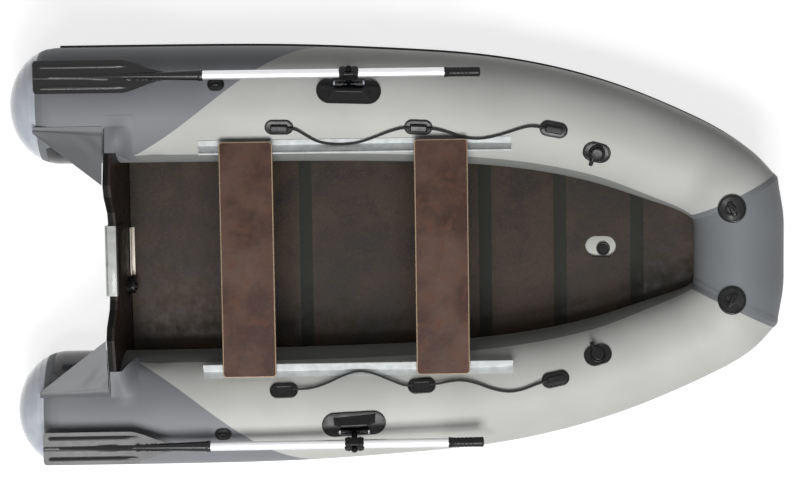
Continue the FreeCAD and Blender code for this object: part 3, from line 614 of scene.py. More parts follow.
def modify(piece: Piece, kind: str, **settings: object) -> Piece:
    """Add a modifier and apply it.

    Args:
        piece: Mesh object.
        kind: Blender's type name of the modifier.
        **settings: The modifier's attributes.

    Returns:
        The piece.
    """
    alone(piece)
    modifier = piece.modifiers.new(kind.lower(), kind)
    for key, value in settings.items():
        setattr(modifier, key, value)
    bpy.ops.object.modifier_apply(modifier=modifier.name)
    return piece


def bevel(piece: Piece, width_mm: float, segments: int = 3, angle_deg: float = 35.0) -> Piece:
    """Round a piece's edges that are sharper than the angle, and return it."""
    return modify(piece, "BEVEL", width=width_mm * MM, segments=segments, limit_method="ANGLE",
                  angle_limit=math.radians(angle_deg))


def smooth(piece: Piece, angle_deg: float) -> Piece:
    """Shade a piece smooth except at sharper edges.

    Args:
        piece: Mesh object.
        angle_deg: Sharpest angle that is shaded smooth.

    Returns:
        The piece.
    """
    alone(piece)
    bpy.ops.object.shade_smooth_by_angle(angle=math.radians(angle_deg))
    return piece


def joined(pieces: Sequence[Piece], name: str) -> Piece:
    """Join meshes into one object and name it.

    Args:
        pieces: Meshes, at least one.
        name: Name of the whole.

    Returns:
        The whole.
    """
    made = alone(pieces[0])
    for piece in pieces[1:]:
        piece.select_set(True)
    if len(pieces) > 1:
        bpy.ops.object.join()
    made.name = made.data.name = name
    return made


def moved(piece: Piece, place: Sequence[float] = (0, 0, 0), turn: Triple = (0, 0, 0)) -> Piece:
    """Turn and move a piece, and put both into its mesh.

    Args:
        piece: Mesh object.
        place: Where its origin goes, in metres.
        turn: Turns about X, Y and Z before that, in radians.

    Returns:
        The piece.
    """
    alone(piece)
    piece.rotation_euler, piece.location = Euler(turn), Vector(place)
    bpy.ops.object.transform_apply(location=True, rotation=True, scale=True)
    return piece


def block(low: Sequence[float], high: Sequence[float], round_mm: float, segments: int = 3) -> Piece:
    """Model a rounded block.

    Args:
        low: Lowest corner, in metres.
        high: Highest corner, in metres.
        round_mm: Radius of its edges.
        segments: Faces across each rounding.

    Returns:
        The block.
    """
    made = primitive("cube", size=1)
    return bevel(reshaped(made, np.array(low) + (coordinates(made) + 0.5) * (np.array(high) - np.array(low))),
                 round_mm, segments)


def surface(across: tuple[int, int], place: Placer, uv: Optional[Placer] = None,
            closed: bool = False) -> Piece:
    """Model a surface by wrapping a grid primitive.

    Args:
        across: Faces along U and along V.
        place: Gives rows of X, Y and Z from U and V, each from 0 to 1.
        uv: Gives rows of two UV values from U and V.
        closed: Whether V runs all the way round.

    Returns:
        The wrapped surface.
    """
    made = primitive("grid", x_subdivisions=across[0], y_subdivisions=across[1], size=1)
    u, v = (coordinates(made)[:, :2] + 0.5).T
    if uv:
        corners = np.empty(len(made.data.loops), dtype=int)
        made.data.loops.foreach_get("vertex_index", corners)
        made.data.uv_layers[0].data.foreach_set("uv", uv(u, v)[corners].ravel())
    reshaped(made, place(u, v))
    return outward(made) if closed else made


def capped(piece: Piece) -> Piece:
    """Close a piece's open rims.

    Args:
        piece: Mesh object.

    Returns:
        The piece.
    """
    in_edit(piece, lambda: bpy.ops.mesh.select_all(action="DESELECT"),
            lambda: bpy.ops.mesh.select_non_manifold(extend=False, use_boundary=True),
            lambda: bpy.ops.mesh.fill_holes(sides=0), every=False)
    return outward(piece)


def thickened(piece: Piece, thick_mm: float, behind: Sequence[float] = (0, 0, -100),
              offset: float = -1.0) -> Piece:
    """Give a sheet its thickness.

    Args:
        piece: The open sheet.
        thick_mm: Its thickness.
        behind: A point behind the sheet, which its faces are turned away from.
        offset: Where the thickness goes: -1 behind the sheet, 0 on both sides.

    Returns:
        The closed sheet.
    """
    face = piece.data.polygons[len(piece.data.polygons) // 2]
    if face.normal.dot(face.center - Vector(behind)) < 0:
        in_edit(piece, lambda: bpy.ops.mesh.flip_normals())
    return modify(piece, "SOLIDIFY", thickness=thick_mm * MM, offset=offset)


def turned(steps: Rings, corners: int = 48) -> Piece:
    """Model a turned piece on the Z axis from the rings of its profile.

    Args:
        steps: Radius and height of each ring from the base up, in millimetres.
        corners: Corners of each ring.

    Returns:
        The closed piece.
    """
    radius, height = steps[0]
    made = moved(primitive("circle", vertices=corners, radius=radius * MM, fill_type="NGON"),
                 (0, 0, height * MM))

    def climb() -> None:
        """Extrude and scale ring after ring."""
        for (was_r, was_z), (r, z) in zip(steps, steps[1:]):
            bpy.ops.mesh.extrude_region_move(TRANSFORM_OT_translate={"value": (0, 0, (z - was_z) * MM)})
            bpy.ops.transform.resize(value=(r / was_r, r / was_r, 1.0), center_override=(0, 0, z * MM))

    return smooth(outward(in_edit(made, climb)), 35.0)


def rod(start: Sequence[float], steps: Rings, corners: int = 32, reverse: bool = False) -> Piece:
    """Model a turned piece that lies along X.

    Args:
        start: Place of its base, in metres.
        steps: Radius and distance of each ring from the base, in millimetres.
        corners: Corners of each ring.
        reverse: Whether it points to the stern.

    Returns:
        The piece.
    """
    quarter = math.pi / 2
    return outward(moved(turned(steps, corners), start, (0, -quarter if reverse else quarter, 0)))


def pad(length: float, width: float, steps: Rings, corner: Optional[float] = None, corners: int = 48) -> Piece:
    """Model a closed pad with round ends, lying on z = 0, from insets and rises.

    Args:
        length: Size along X, in millimetres.
        width: Size along Y, in millimetres.
        steps: Inset and rise of each ring from the outline on, in millimetres.
        corner: Corner radius, or None for full round ends.
        corners: Corners of the outline's arcs together.

    Returns:
        The pad.
    """
    radius = (width / 2 if corner is None else corner) * MM
    made = moved(primitive("circle", vertices=corners, radius=radius, fill_type="NGON"),
                 turn=(0, 0, math.pi / corners))
    half = np.array((length / 2 * MM - radius, width / 2 * MM - radius, 0.0))
    places = coordinates(made)
    reshaped(made, places + np.sign(places) * half)

    def climb() -> None:
        """Extrude each rise and inset each step."""
        for inset, rise in steps:
            if inset == 0:
                bpy.ops.mesh.extrude_region_move(TRANSFORM_OT_translate={"value": (0, 0, rise * MM)})
            else:
                bpy.ops.mesh.inset(thickness=inset * MM, depth=0.0)
                bpy.ops.transform.translate(value=(0, 0, rise * MM))

    return capped(in_edit(made, climb))


def dressed(pieces: Sequence[Piece], name: str, smooth_deg: Optional[float], body: str, nodes: Sequence[str],
            slot: str, *finishes: Finish, side: Side = Side.PORT) -> Piece:
    """Join pieces into a finished one, give it its finishes and body, and hide the CAD nodes that it replaces.

    Args:
        pieces: Meshes to join.
        name: Name of the finished piece.
        smooth_deg: Sharpest angle that is shaded smooth, or None where that is done.
        body: Body that it rides on.
        nodes: CAD nodes that it replaces.
        slot: The record's material slot; not used.
        *finishes: Finishes in the order of the piece's material indices.
        side: Side that pieces modelled for port are meant for.

    Returns:
        The finished piece.
    """
    piece = joined(pieces, name)
    if smooth_deg:
        smooth(piece, smooth_deg)
    if side is Side.STARBOARD:
        outward(reshaped(piece, coordinates(piece) * np.array((1, -1, 1))))
    piece.data.materials.clear()
    for finish in finishes:
        piece.data.materials.append(finish.material())
    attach(piece, body)
    for node in nodes:
        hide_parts(node)
    LOG.info("%s: %d faces on %s", piece.name, len(piece.data.polygons), body)
    return piece


def carry(node: str, finish: Finish) -> None:
    """Give a CAD node that stays as it is a finish, in all its material slots.

    Args:
        node: Name of the node.
        finish: Its finish.
    """
    for slot in frame["nodes"][node].material_slots:
        slot.material = finish.material()
    LOG.info("%s: kept from the CAD", node)


# ---- the tubes' shape


def clamped_curve(at: Array, values: Array, slopes: Pair) -> Callable[[Array], Array]:
    """Fit a smooth cubic curve through points, with a given slope at each end.

    Args:
        at: Places of the points, rising.
        values: Values there.
        slopes: Slope at the first and last point.

    Returns:
        A function that gives the curve's values.
    """
    gaps = np.diff(at)
    rates = np.diff(values) / gaps
    count = len(at)
    matrix = np.zeros((count, count))
    right = np.zeros(count)
    matrix[0, 0] = matrix[-1, -1] = 1.0
    right[0], right[-1] = slopes
    for i in range(1, count - 1):
        matrix[i, i - 1], matrix[i, i + 1] = gaps[i], gaps[i - 1]
        matrix[i, i] = 2 * (gaps[i] + gaps[i - 1])
        right[i] = 3 * (gaps[i] * rates[i - 1] + gaps[i - 1] * rates[i])
    slope = np.linalg.solve(matrix, right)

    def curve(x: Array) -> Array:
        """Work out the curve's values.

        Args:
            x: Places along the curve.

        Returns:
            Values there.
        """
        x = np.clip(x, at[0], at[-1])
        i = np.clip(np.searchsorted(at, x) - 1, 0, count - 2)
        t = (x - at[i]) / gaps[i]
        return ((1 + 2 * t) * (1 - t) ** 2 * values[i] + t * (1 - t) ** 2 * gaps[i] * slope[i]
                + t * t * (3 - 2 * t) * values[i + 1] + t * t * (t - 1) * gaps[i] * slope[i + 1])

    return curve


@dataclass
class TubePath:
    """Axis and radius of the port tube, from the stern dome to the middle of the bow, in metres."""

    stations: Sequence[Triple] = (
        (-0.708, 0.5505, 0.208), (-0.358, 0.547, 0.2065), (-0.008, 0.535, 0.201), (0.292, 0.515, 0.196),
        (0.578, 0.470, 0.187), (0.808, 0.405, 0.178), (0.992, 0.333, 0.169))
    stern_spread: float = 0.551
    stern_radius: float = 0.208
    dome_length: float = 0.179
    bow_axis_x: float = 1.225
    bow_radius: float = 0.160
    bend_radius: float = 0.178
    bend_start_deg: float = 38.0
    bend_centre_y: float = 0.105
    rise_start_x: float = 0.092
    bow_rise: float = 0.160
    samples: int = 900
    table: dict[str, Array] = field(default_factory=dict)

    def __post_init__(self) -> None:
        """Sample the axis by its length: side, bend, straight bow and bend back."""
        x, y, r = self.side_axis()
        heading = math.radians(self.bend_start_deg)
        centre_x = self.bow_axis_x - self.bend_radius
        turn = np.linspace(heading, math.pi / 2, 160)[1:]
        turn_back = np.linspace(math.pi / 2, math.pi - heading, 160)
        bow_y = np.linspace(self.bend_centre_y, -self.bend_centre_y, 60)[1:-1]
        x = np.concatenate([x, centre_x + self.bend_radius * np.sin(turn), np.full(bow_y.size, self.bow_axis_x),
                            centre_x + self.bend_radius * np.sin(turn_back)])
        y = np.concatenate([y, self.bend_centre_y + self.bend_radius * np.cos(turn), bow_y,
                            -self.bend_centre_y + self.bend_radius * np.cos(turn_back)])
        r = np.concatenate([r, np.full(x.size - r.size, self.bow_radius)])
        self.tabulate(x, y, r, r + self.rise(x))

    def side_axis(self) -> tuple[Array, Array, Array]:
        """Sample the side tube's curved run, up to the bend.

        Returns:
            X, Y and radius along it.
        """
        self.dome_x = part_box("port_stern_cap")[0][0] + self.dome_length
        heading = math.radians(self.bend_start_deg)
        bend_x = self.bow_axis_x - self.bend_radius * (1 - math.sin(heading))
        bend_y = self.bend_centre_y + self.bend_radius * math.cos(heading)
        rows = [(self.dome_x, self.stern_spread, self.stern_radius), *self.stations,
                (bend_x, bend_y, self.bow_radius)]
        at, spread, radius = np.array(rows).T
        x = np.linspace(self.dome_x, bend_x, self.samples)
        return (x, clamped_curve(at, spread, (0.0, -math.tan(heading)))(x),
                clamped_curve(at, radius, (0.0, 0.0))(x))

    def tabulate(self, x: Array, y: Array, r: Array, z: Array) -> None:
        """Keep the axis with its distances and headings.

        Args:
            x: Places along the boat.
            y: Places outboard.
            r: Radii.
            z: Heights.
        """
        s = np.concatenate([[0.0], np.cumsum(np.hypot(np.diff(x), np.diff(y)))])
        heading = np.arctan2(-np.gradient(y, s), np.gradient(x, s))
        self.table = {"s": s, "x": x, "y": y, "z": z, "r": r, "heading": heading}

    def rise(self, x: Array) -> Array:
        """Return how far the bottom lies above the ground at x."""
        share = np.maximum(0.0, x - self.rise_start_x) / (self.bow_axis_x - self.rise_start_x)
        return self.bow_rise * share ** 3

    def value(self, key: str, s: Array) -> Array:
        """Return one column of the axis table at s, and the dome rim's value on the dome."""
        return np.interp(np.maximum(s, 0.0), self.table["s"], self.table[key])

    def points(self, s: Array, angle_deg: Array, lift: Array, side: Side = Side.PORT) -> Array:
        """Give points on the tube.

        Args:
            s: Distance along the axis from the dome's rim; below zero on the dome.
            angle_deg: Angle round the tube from its top, outboard.
            lift: Height above the surface.
            side: Side of the boat.

        Returns:
            Rows of X, Y and Z.
        """
        s, angle, lift = np.broadcast_arrays(s, np.radians(angle_deg), lift)
        dome = np.clip(-s / self.dome_length, 0.0, 1.0)
        x, y, z, r, heading = (self.value(key, s) for key in ("x", "y", "z", "r", "heading"))
        radius = r * np.sqrt(np.maximum(1 - dome ** 2, 0.0)) + lift
        across = np.sin(angle) * radius
        return np.stack([x + np.minimum(s, 0.0) + np.sin(heading) * across,
                         side.value * (y + np.cos(heading) * across), z + np.cos(angle) * radius], axis=-1)

    def locate(self, x: float, y: float) -> Pair:
        """Find the place on the tube's top half above a point of the plan.

        Args:
            x: Place along the boat.
            y: Place outboard of its middle.

        Returns:
            Distance along the axis, and the angle in degrees.
        """
        i = int(np.argmin(np.hypot(self.table["x"] - x, self.table["y"] - y)))
        at_x, at_y, at_s, r, heading = (self.table[key][i] for key in ("x", "y", "s", "r", "heading"))
        offset = (x - at_x) * math.sin(heading) + (y - at_y) * math.cos(heading)
        return float(at_s), math.degrees(math.asin(offset / r))

    def axes(self, place: Pair) -> Array:
        """Give the tube's directions at a place.

        Args:
            place: Distance along the axis, and the angle in degrees.

        Returns:
            Rows along, outboard across and out of the tube.
        """
        heading, tilt = float(self.value("heading", place[0])), math.radians(place[1])
        along = np.array((math.cos(heading), -math.sin(heading), 0.0))
        out = np.array((math.sin(heading), math.cos(heading), 0.0))
        up = np.array((0.0, 0.0, 1.0))
        return np.stack([along, out * math.cos(tilt) - up * math.sin(tilt),
                         out * math.sin(tilt) + up * math.cos(tilt)])

    def wrap(self, piece: Piece, place: Pair, side: Side) -> Piece:
        """Lay a piece that was made flat round its origin onto the tube.

        Args:
            piece: Piece with X along the tube, Y outboard and Z out of the tube.
            place: Distance along the axis and angle of its middle.
            side: Side of the boat.

        Returns:
            The piece.
        """
        x, y, z = coordinates(piece).T
        angle = place[1] + np.degrees(y / float(self.value("r", place[0])))
        return outward(reshaped(piece, self.points(place[0] + x, angle, z, side)))


@dataclass
class MitredSide(TubePath):
    """The side tube's cloth, which runs on past the mitre where it is cut and meets the bow at a corner."""

    corner_turn_deg: float = 10.0
    corner_radius: float = 0.30
    corner: Pair = (1.2118, 0.1908)
    corner_deg: float = 64.0
    level_x: Pair = (1.05, 1.19)
    overrun: float = 0.20

    def __post_init__(self) -> None:
        """Sample the axis: curved run, tighter arc, then straight on."""
        x, y, r = self.side_axis()
        heading = math.radians(self.bend_start_deg)
        turn = np.linspace(heading, heading + math.radians(self.corner_turn_deg), 60)[1:]
        arc_x = x[-1] + self.corner_radius * (np.sin(turn) - math.sin(heading))
        arc_y = y[-1] + self.corner_radius * (np.cos(turn) - math.cos(heading))
        reach = np.linspace(0.0, self.overrun, 60)[1:]
        x = np.concatenate([x, arc_x, arc_x[-1] + reach * math.cos(turn[-1])])
        y = np.concatenate([y, arc_y, arc_y[-1] - reach * math.sin(turn[-1])])
        r = np.concatenate([r, np.full(x.size - r.size, self.bow_radius)])
        self.tabulate(x, y, r, r + self.levelled(x))
        self.corner_s = float(self.table["s"][np.argmin(np.hypot(x - self.corner[0], y - self.corner[1]))])

    def levelled(self, x: Array) -> Array:
        """Give the rise, which levels off before the mitre.

        Args:
            x: Places along the boat.

        Returns:
            Heights of the underside.
        """
        low, high = self.level_x
        start = float(self.rise(np.array(low)))
        slope = 3 * start / (low - self.rise_start_x) * (high - low)
        t = np.clip((x - low) / (high - low), 0.0, 1.0)
        eased = (1 + 2 * t) * (1 - t) ** 2 * start + t * (1 - t) ** 2 * slope + t * t * (3 - 2 * t) * self.bow_rise
        return np.where(x < low, self.rise(x), eased)

    def height(self, x: Array, y: Array) -> Array:
        """Find this tube's upper surface above points of the plan.

        Args:
            x: Places along the boat.
            y: Places outboard.

        Returns:
            Heights there.
        """
        gaps = np.hypot(x[:, None] - self.table["x"], y[:, None] - self.table["y"])
        nearest = np.argmin(gaps, axis=1)
        off = gaps[np.arange(x.size), nearest]
        return self.table["z"][nearest] + np.sqrt(np.maximum(self.table["r"][nearest] ** 2 - off ** 2, 0.0))

    def cut(self, piece: Piece, off_mm: float, keep_aft: bool, side: Side) -> Piece:
        """Cut a piece along the mitre.

        Args:
            piece: Mesh object.
            off_mm: Distance of the cut from the mitre, towards the bow.
            keep_aft: Whether the part aft of the cut stays.
            side: Side of the boat whose mitre is meant.

        Returns:
            The piece, open where it was cut.
        """
        turn = math.radians(self.corner_deg)
        normal = Vector((math.cos(turn), -side.value * math.sin(turn), 0.0))
        place = Vector((self.corner[0], side.value * self.corner[1], 0.0)) + normal * off_mm * MM
        return in_edit(piece, lambda: bpy.ops.mesh.bisect(plane_co=place, plane_no=normal, clear_outer=keep_aft,
                                                          clear_inner=not keep_aft))


@dataclass
class MitredBow(MitredSide):
    """The bow tube's cloth, which runs past both mitres where it is cut."""

    corner_straight: float = 0.05

    def __post_init__(self) -> None:
        """Sample the axis from beyond the port mitre to beyond the starboard one."""
        start = math.radians(2 * self.corner_deg - self.bend_start_deg - self.corner_turn_deg)
        turn = np.linspace(start, math.pi / 2, 50)[1:]
        before = np.linspace(-self.overrun, self.corner_straight, 60)
        x = self.corner[0] + before * math.cos(start)
        y = self.corner[1] - before * math.sin(start)
        x = np.concatenate([x, x[-1] + self.corner_radius * (np.sin(turn) - math.sin(start))])
        y = np.concatenate([y, y[-1] + self.corner_radius * (np.cos(turn) - math.cos(start))])
        middle_y = np.linspace(y[-1], 0.0, 30)[1:]
        x = np.concatenate([x, np.full(middle_y.size, x[-1])])
        y = np.concatenate([y, middle_y])
        x, y = np.concatenate([x, x[-2::-1]]), np.concatenate([y, -y[-2::-1]])
        r = np.full(x.size, self.bow_radius)
        self.tabulate(x, y, r, r + self.bow_rise)
        self.corner_s = self.overrun

    def span(self, past: float) -> Pair:
        """Return the distances that far past the port mitre and past the starboard one."""
        return self.corner_s - past, float(self.table["s"][-1]) - self.corner_s + past

    def trimmed(self, piece: Piece, off_mm: float = 0.0) -> Piece:
        """Cut a piece at both mitres, keeping what lies between them, and close it.

        Args:
            piece: Mesh object.
            off_mm: Distance of the cuts from the mitres, towards the bow.

        Returns:
            The piece.
        """
        for side in Side:
            self.cut(piece, off_mm, False, side)
        return capped(piece)


def around(v: Array) -> Array:
    """Return the angle round a tube, from its underside round, for V from 0 to 1."""
    return 180.0 - 360.0 * v


def between(ends: Sequence[float], share: Array) -> Array:
    """Return the value at a share of the way between two ends."""
    return ends[0] + share * (ends[1] - ends[0])


def profile_at(profile: Rings, v: Array) -> tuple[Array, Array]:
    """Read a closed profile.

    Args:
        profile: Its corners.
        v: Shares of the way round.

    Returns:
        Both coordinates there.
    """
    ring = np.array([*profile, profile[0]])
    first, second = (np.interp(v * len(profile), np.arange(len(ring)), column) for column in ring.T)
    return first, second


# ---- the hull's pieces


@dataclass
class SoftFold:
    """A soft bulge or crease of the tube's cloth: place, lift and reach."""

    x: float
    angle_deg: float
    lift_mm: float
    length_mm: float
    width_deg: float
    turn: float = 0.0  # degrees of angle for each metre along, for a slanted fold


@dataclass
class Tubes:
    """The inflated ring: side tubes, bow tube, stern caps, seams and rubbing strakes."""

    path: MitredSide
    bow: MitredBow
    overlap: float = 0.10  # how far the cloth runs past the mitre before it is cut
    band_drop_deg: float = 15.0  # how far the lower band's edge sinks towards the bow
    band_drop_x: Pair = (0.75, 1.15)
    folds: Sequence[SoftFold] = (
        SoftFold(-0.93, -48.0, 5.0, 46.0, 12.0, 30.0), SoftFold(-0.86, -64.0, -3.5, 40.0, 9.0, -40.0),
        SoftFold(-0.975, -66.0, 4.0, 30.0, 10.0), SoftFold(-1.06, -34.0, -3.0, 40.0, 10.0, 60.0),
        SoftFold(-1.14, -48.0, 3.0, 50.0, 9.0, -60.0))
    cap_rings_mm: Sequence[Triple] = (  # place, height and width of each seam ring
        (-67.0, 1.6, 5.0), (-89.0, 1.2, 6.0), (-114.0, 1.0, 9.0), (-140.0, 0.8, 9.0))
    seam_width_mm: float = 36.0
    seam_lift_mm: float = 1.1
    seam_thick_mm: float = 1.4
    seam_run: float = 0.17  # how far the tape's blank runs either way of the mitre
    cap_seam_mm: Pair = (30.0, 1.2)  # width and thickness
    cap_seam_reach_deg: Pair = (-178.0, 178.0)
    cap_seam_ahead: float = 0.010  # of the tube's aft end
    patch_x: Pair = (-1.244, -1.045)
    patch_deg: Pair = (-112.0, -41.0)
    patch_lift_mm: float = 1.6
    patch_thick_mm: float = 1.8
    strake_drop_deg: Pair = (13.0, 24.0)  # at the stern and round the bow
    strake_half_mm: float = 23.0
    strake_thick_mm: float = 12.0
    strake_overlap: float = 0.12

    def folded(self, x: Array, angle: Array) -> Array:
        """Work out how far the soft folds lift the cloth.

        Args:
            x: Places along the boat.
            angle: Angles round the tube, in degrees.

        Returns:
            Lifts in metres.
        """
        lift = np.zeros(np.broadcast(x, angle).shape)
        for fold in self.folds:
            off = angle - fold.angle_deg - fold.turn * (x - fold.x)
            lift += fold.lift_mm * MM * np.exp(-((x - fold.x) / (fold.length_mm * MM)) ** 2
                                               - (off / fold.width_deg) ** 2)
        return lift

    def side_tube(self, side: Side) -> None:
        """Model a side tube from the stern cap to the bow's mitre.

        Args:
            side: Side of the boat.
        """
        stern_x = self.path.dome_x
        ends = (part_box("port_tube")[0][0] - stern_x, self.path.corner_s + self.overlap)

        def place(u: Array, v: Array) -> Array:
            """Wrap the grid round the tube."""
            s = between(ends, u)
            return self.path.points(s, around(v), self.folded(stern_x + s, around(v)), side)

        def uv(u: Array, v: Array) -> Array:
            """Give the place along the boat and the angle, lowered towards the bow.

            Args:
                u: Shares along U.
                v: Shares along V.

            Returns:
                Rows of both UV values.
            """
            s = between(ends, u)
            x = np.where(s < 0, stern_x + s, self.path.value("x", s))
            low, high = self.band_drop_x
            drop = self.band_drop_deg * np.clip((x - low) / (high - low), 0, 1) ** 1.5
            return np.stack([x, (around(v) + drop) / 100], axis=-1)

        tube = capped(self.path.cut(surface((310, 120), place, uv, closed=True), 0.0, True, side))
        dressed([tube], f"{side.word}_tube_cloth", 50.0, "hull", [f"{side.word}_tube"], "tube_pvc", TUBE)

    def bow_tube(self) -> None:
        """Model the bow's tube between the two mitres."""
        ends = self.bow.span(self.overlap)
        tube = surface((130, 120), lambda u, v: self.bow.points(between(ends, u), around(v), 0.0), closed=True)
        dressed([self.bow.trimmed(tube)], "bow_tube_cloth", 50.0, "hull", ["bow_tube"], "bow_pvc", BOW_CLOTH)

    def seams(self, side: Side) -> None:
        """Model the mitre's tape, and the tape between the tube and its stern cap.

        Args:
            side: Side of the boat.
        """
        reach = self.seam_width_mm / 2
        halves = []
        for run, aft in ((self.path, True), (self.bow, False)):
            ends = (run.corner_s - self.seam_run, run.corner_s + self.seam_run)
            half = surface((70, 110), lambda u, v: run.points(between(ends, u), around(v), self.seam_lift_mm * MM,
                                                              side), closed=True)
            run.cut(run.cut(half, 0.0, aft, side), -reach if aft else reach, not aft, side)
            halves.append(modify(half, "SOLIDIFY", thickness=self.seam_thick_mm * MM, offset=-1.0))
        dressed(halves, f"{side.word}_mitre_seam", 40.0, "hull", [], "bow_pvc", SEAM_CLOTH)
        profile = [(-0.5, 0.0), (-0.497, 0.7), (-0.46, 1.0), (0.0, 1.0), (0.46, 1.0), (0.497, 0.7), (0.5, 0.0),
                   (0.3, -0.6), (-0.3, -0.6)]
        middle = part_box("port_tube")[0][0] - self.path.dome_x + self.cap_seam_ahead
        width, thick = (value * MM for value in self.cap_seam_mm)

        def place(u: Array, v: Array) -> Array:
            """Place the tape's profile at each angle."""
            along, lift = profile_at(profile, v)
            return self.path.points(middle + along * width, between(self.cap_seam_reach_deg, u), lift * thick, side)

        band = capped(surface((110, len(profile)), place, closed=True))
        dressed([band], f"{side.word}_cap_seam", 32.0, "hull", [], "tube_pvc", SEAM_CLOTH)

    def patch(self, side: Side) -> None:
        """Model the glossy black sheet on the tube's inner side, aft of the transom: painted shade where that side
        lies in shadow.

        Args:
            side: Side of the boat.
        """
        ends = tuple(x - self.path.dome_x for x in self.patch_x)

        def place(u: Array, v: Array) -> Array:
            """Lay the patch on the tube, its aft corners cut off.

            Args:
                u: Shares along U.
                v: Shares along V.

            Returns:
                Rows of X, Y and Z.
            """
            inset = np.maximum(0.0, 0.16 - u) * 0.5
            angle = between(self.patch_deg, inset + v * (1 - 2 * inset))
            return self.path.points(between(ends, u), angle, self.patch_lift_mm * MM, side)

        axis = self.path.points(sum(ends) / 2, 0.0, -self.path.stern_radius, side)
        cloth = thickened(surface((60, 40), place), self.patch_thick_mm, axis)
        dressed([cloth], f"{side.word}_stern_patch", 40.0, "hull", [], "cap_pvc", SHADE_PATCH)

    def stern_cap(self, side: Side) -> None:
        """Model the rounded end of a side tube, with its seam rings.

        Args:
            side: Side of the boat.
        """
        ends = (-self.path.dome_length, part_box("port_stern_cap")[1][0] - self.path.dome_x)

        def place(u: Array, v: Array) -> Array:
            """Wrap the grid round the dome, finer towards its tip.

            Args:
                u: Shares along U.
                v: Shares along V.

            Returns:
                Rows of X, Y and Z.
            """
            s = between(ends, u ** 1.9)
            lift = sum(height * MM * np.exp(-((s - at * MM) / (width * MM)) ** 2)
                       for at, height, width in self.cap_rings_mm)
            return self.path.points(s, around(v), lift * np.clip(u * 6, 0, 1), side)

        dressed([capped(surface((110, 120), place, closed=True))], f"{side.word}_stern_cone", 60.0, "hull",
                [f"{side.word}_stern_cap"], "cap_pvc", CAP_PAINTED_SHEEN)

    def strip(self, run: MitredSide, ends: Pair, angle: Callable[[Array], Array], side: Side, steps: int) -> Piece:
        """Model a ribbed strake that runs along the tube.

        Args:
            run: Tube that it lies on.
            ends: Start and end, as distances along the axis.
            angle: Gives the angle of its middle from the distance.
            side: Side of the boat.
            steps: Faces along it.

        Returns:
            The strake, its ends open.
        """
        w, t = self.strake_half_mm, self.strake_thick_mm
        half = [(-w, -0.4), (-w, 1.5), (-0.74 * w, 2.2), (-0.6 * w, 0.72 * t), (-0.52 * w, 0.95 * t),
                (-0.3 * w, t), (-0.2 * w, 0.8 * t), (-0.08 * w, 0.8 * t)]
        profile = half + [(0.0, t)] + [(-across, lift) for across, lift in reversed(half)]

        def place(u: Array, v: Array) -> Array:
            """Place the profile at each section.

            Args:
                u: Shares along U.
                v: Shares along V.

            Returns:
                Rows of X, Y and Z.
            """
            s = between(ends, u)
            across, lift = profile_at(profile, v)
            return run.points(s, angle(s) + np.degrees(across * MM / run.value("r", s)), lift * MM, side)

        return surface((steps, len(profile)), place, closed=True)

    def strakes(self) -> None:
        """Model the rubbing strakes along the outer side."""
        side_drop, bow_drop = self.strake_drop_deg
        last = float(self.path.value("heading", self.path.corner_s))

        def side_angle(s: Array) -> Array:
            """Return the strake's angle, which sinks towards the bow."""
            return 90.0 + between((side_drop, bow_drop), np.clip(self.path.value("heading", s) / last, 0.0, 1.0))

        ends = (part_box("port_strake")[0][0] - self.path.dome_x, self.path.corner_s + self.strake_overlap)
        for side in Side:
            strake = capped(self.path.cut(self.strip(self.path, ends, side_angle, side, 240), -0.5, True, side))
            dressed([strake], f"{side.word}_rubbing_strake", 32.0, "hull", [f"{side.word}_strake"],
                    "strake_rubber", STRAKE)
        strake = self.strip(self.bow, self.bow.span(self.strake_overlap),
                            lambda s: np.full(np.shape(s), 90.0 + bow_drop), Side.PORT, 110)
        dressed([self.bow.trimmed(strake, 0.5)], "bow_rubbing_strake", 32.0, "hull", ["bow_strake"],
                "strake_rubber", STRAKE)

    def build(self) -> None:
        """Model all of the ring."""
        for side in Side:
            self.side_tube(side)
            self.stern_cap(side)
            self.patch(side)
        self.bow_tube()
        for side in Side:
            self.seams(side)
        self.strakes()


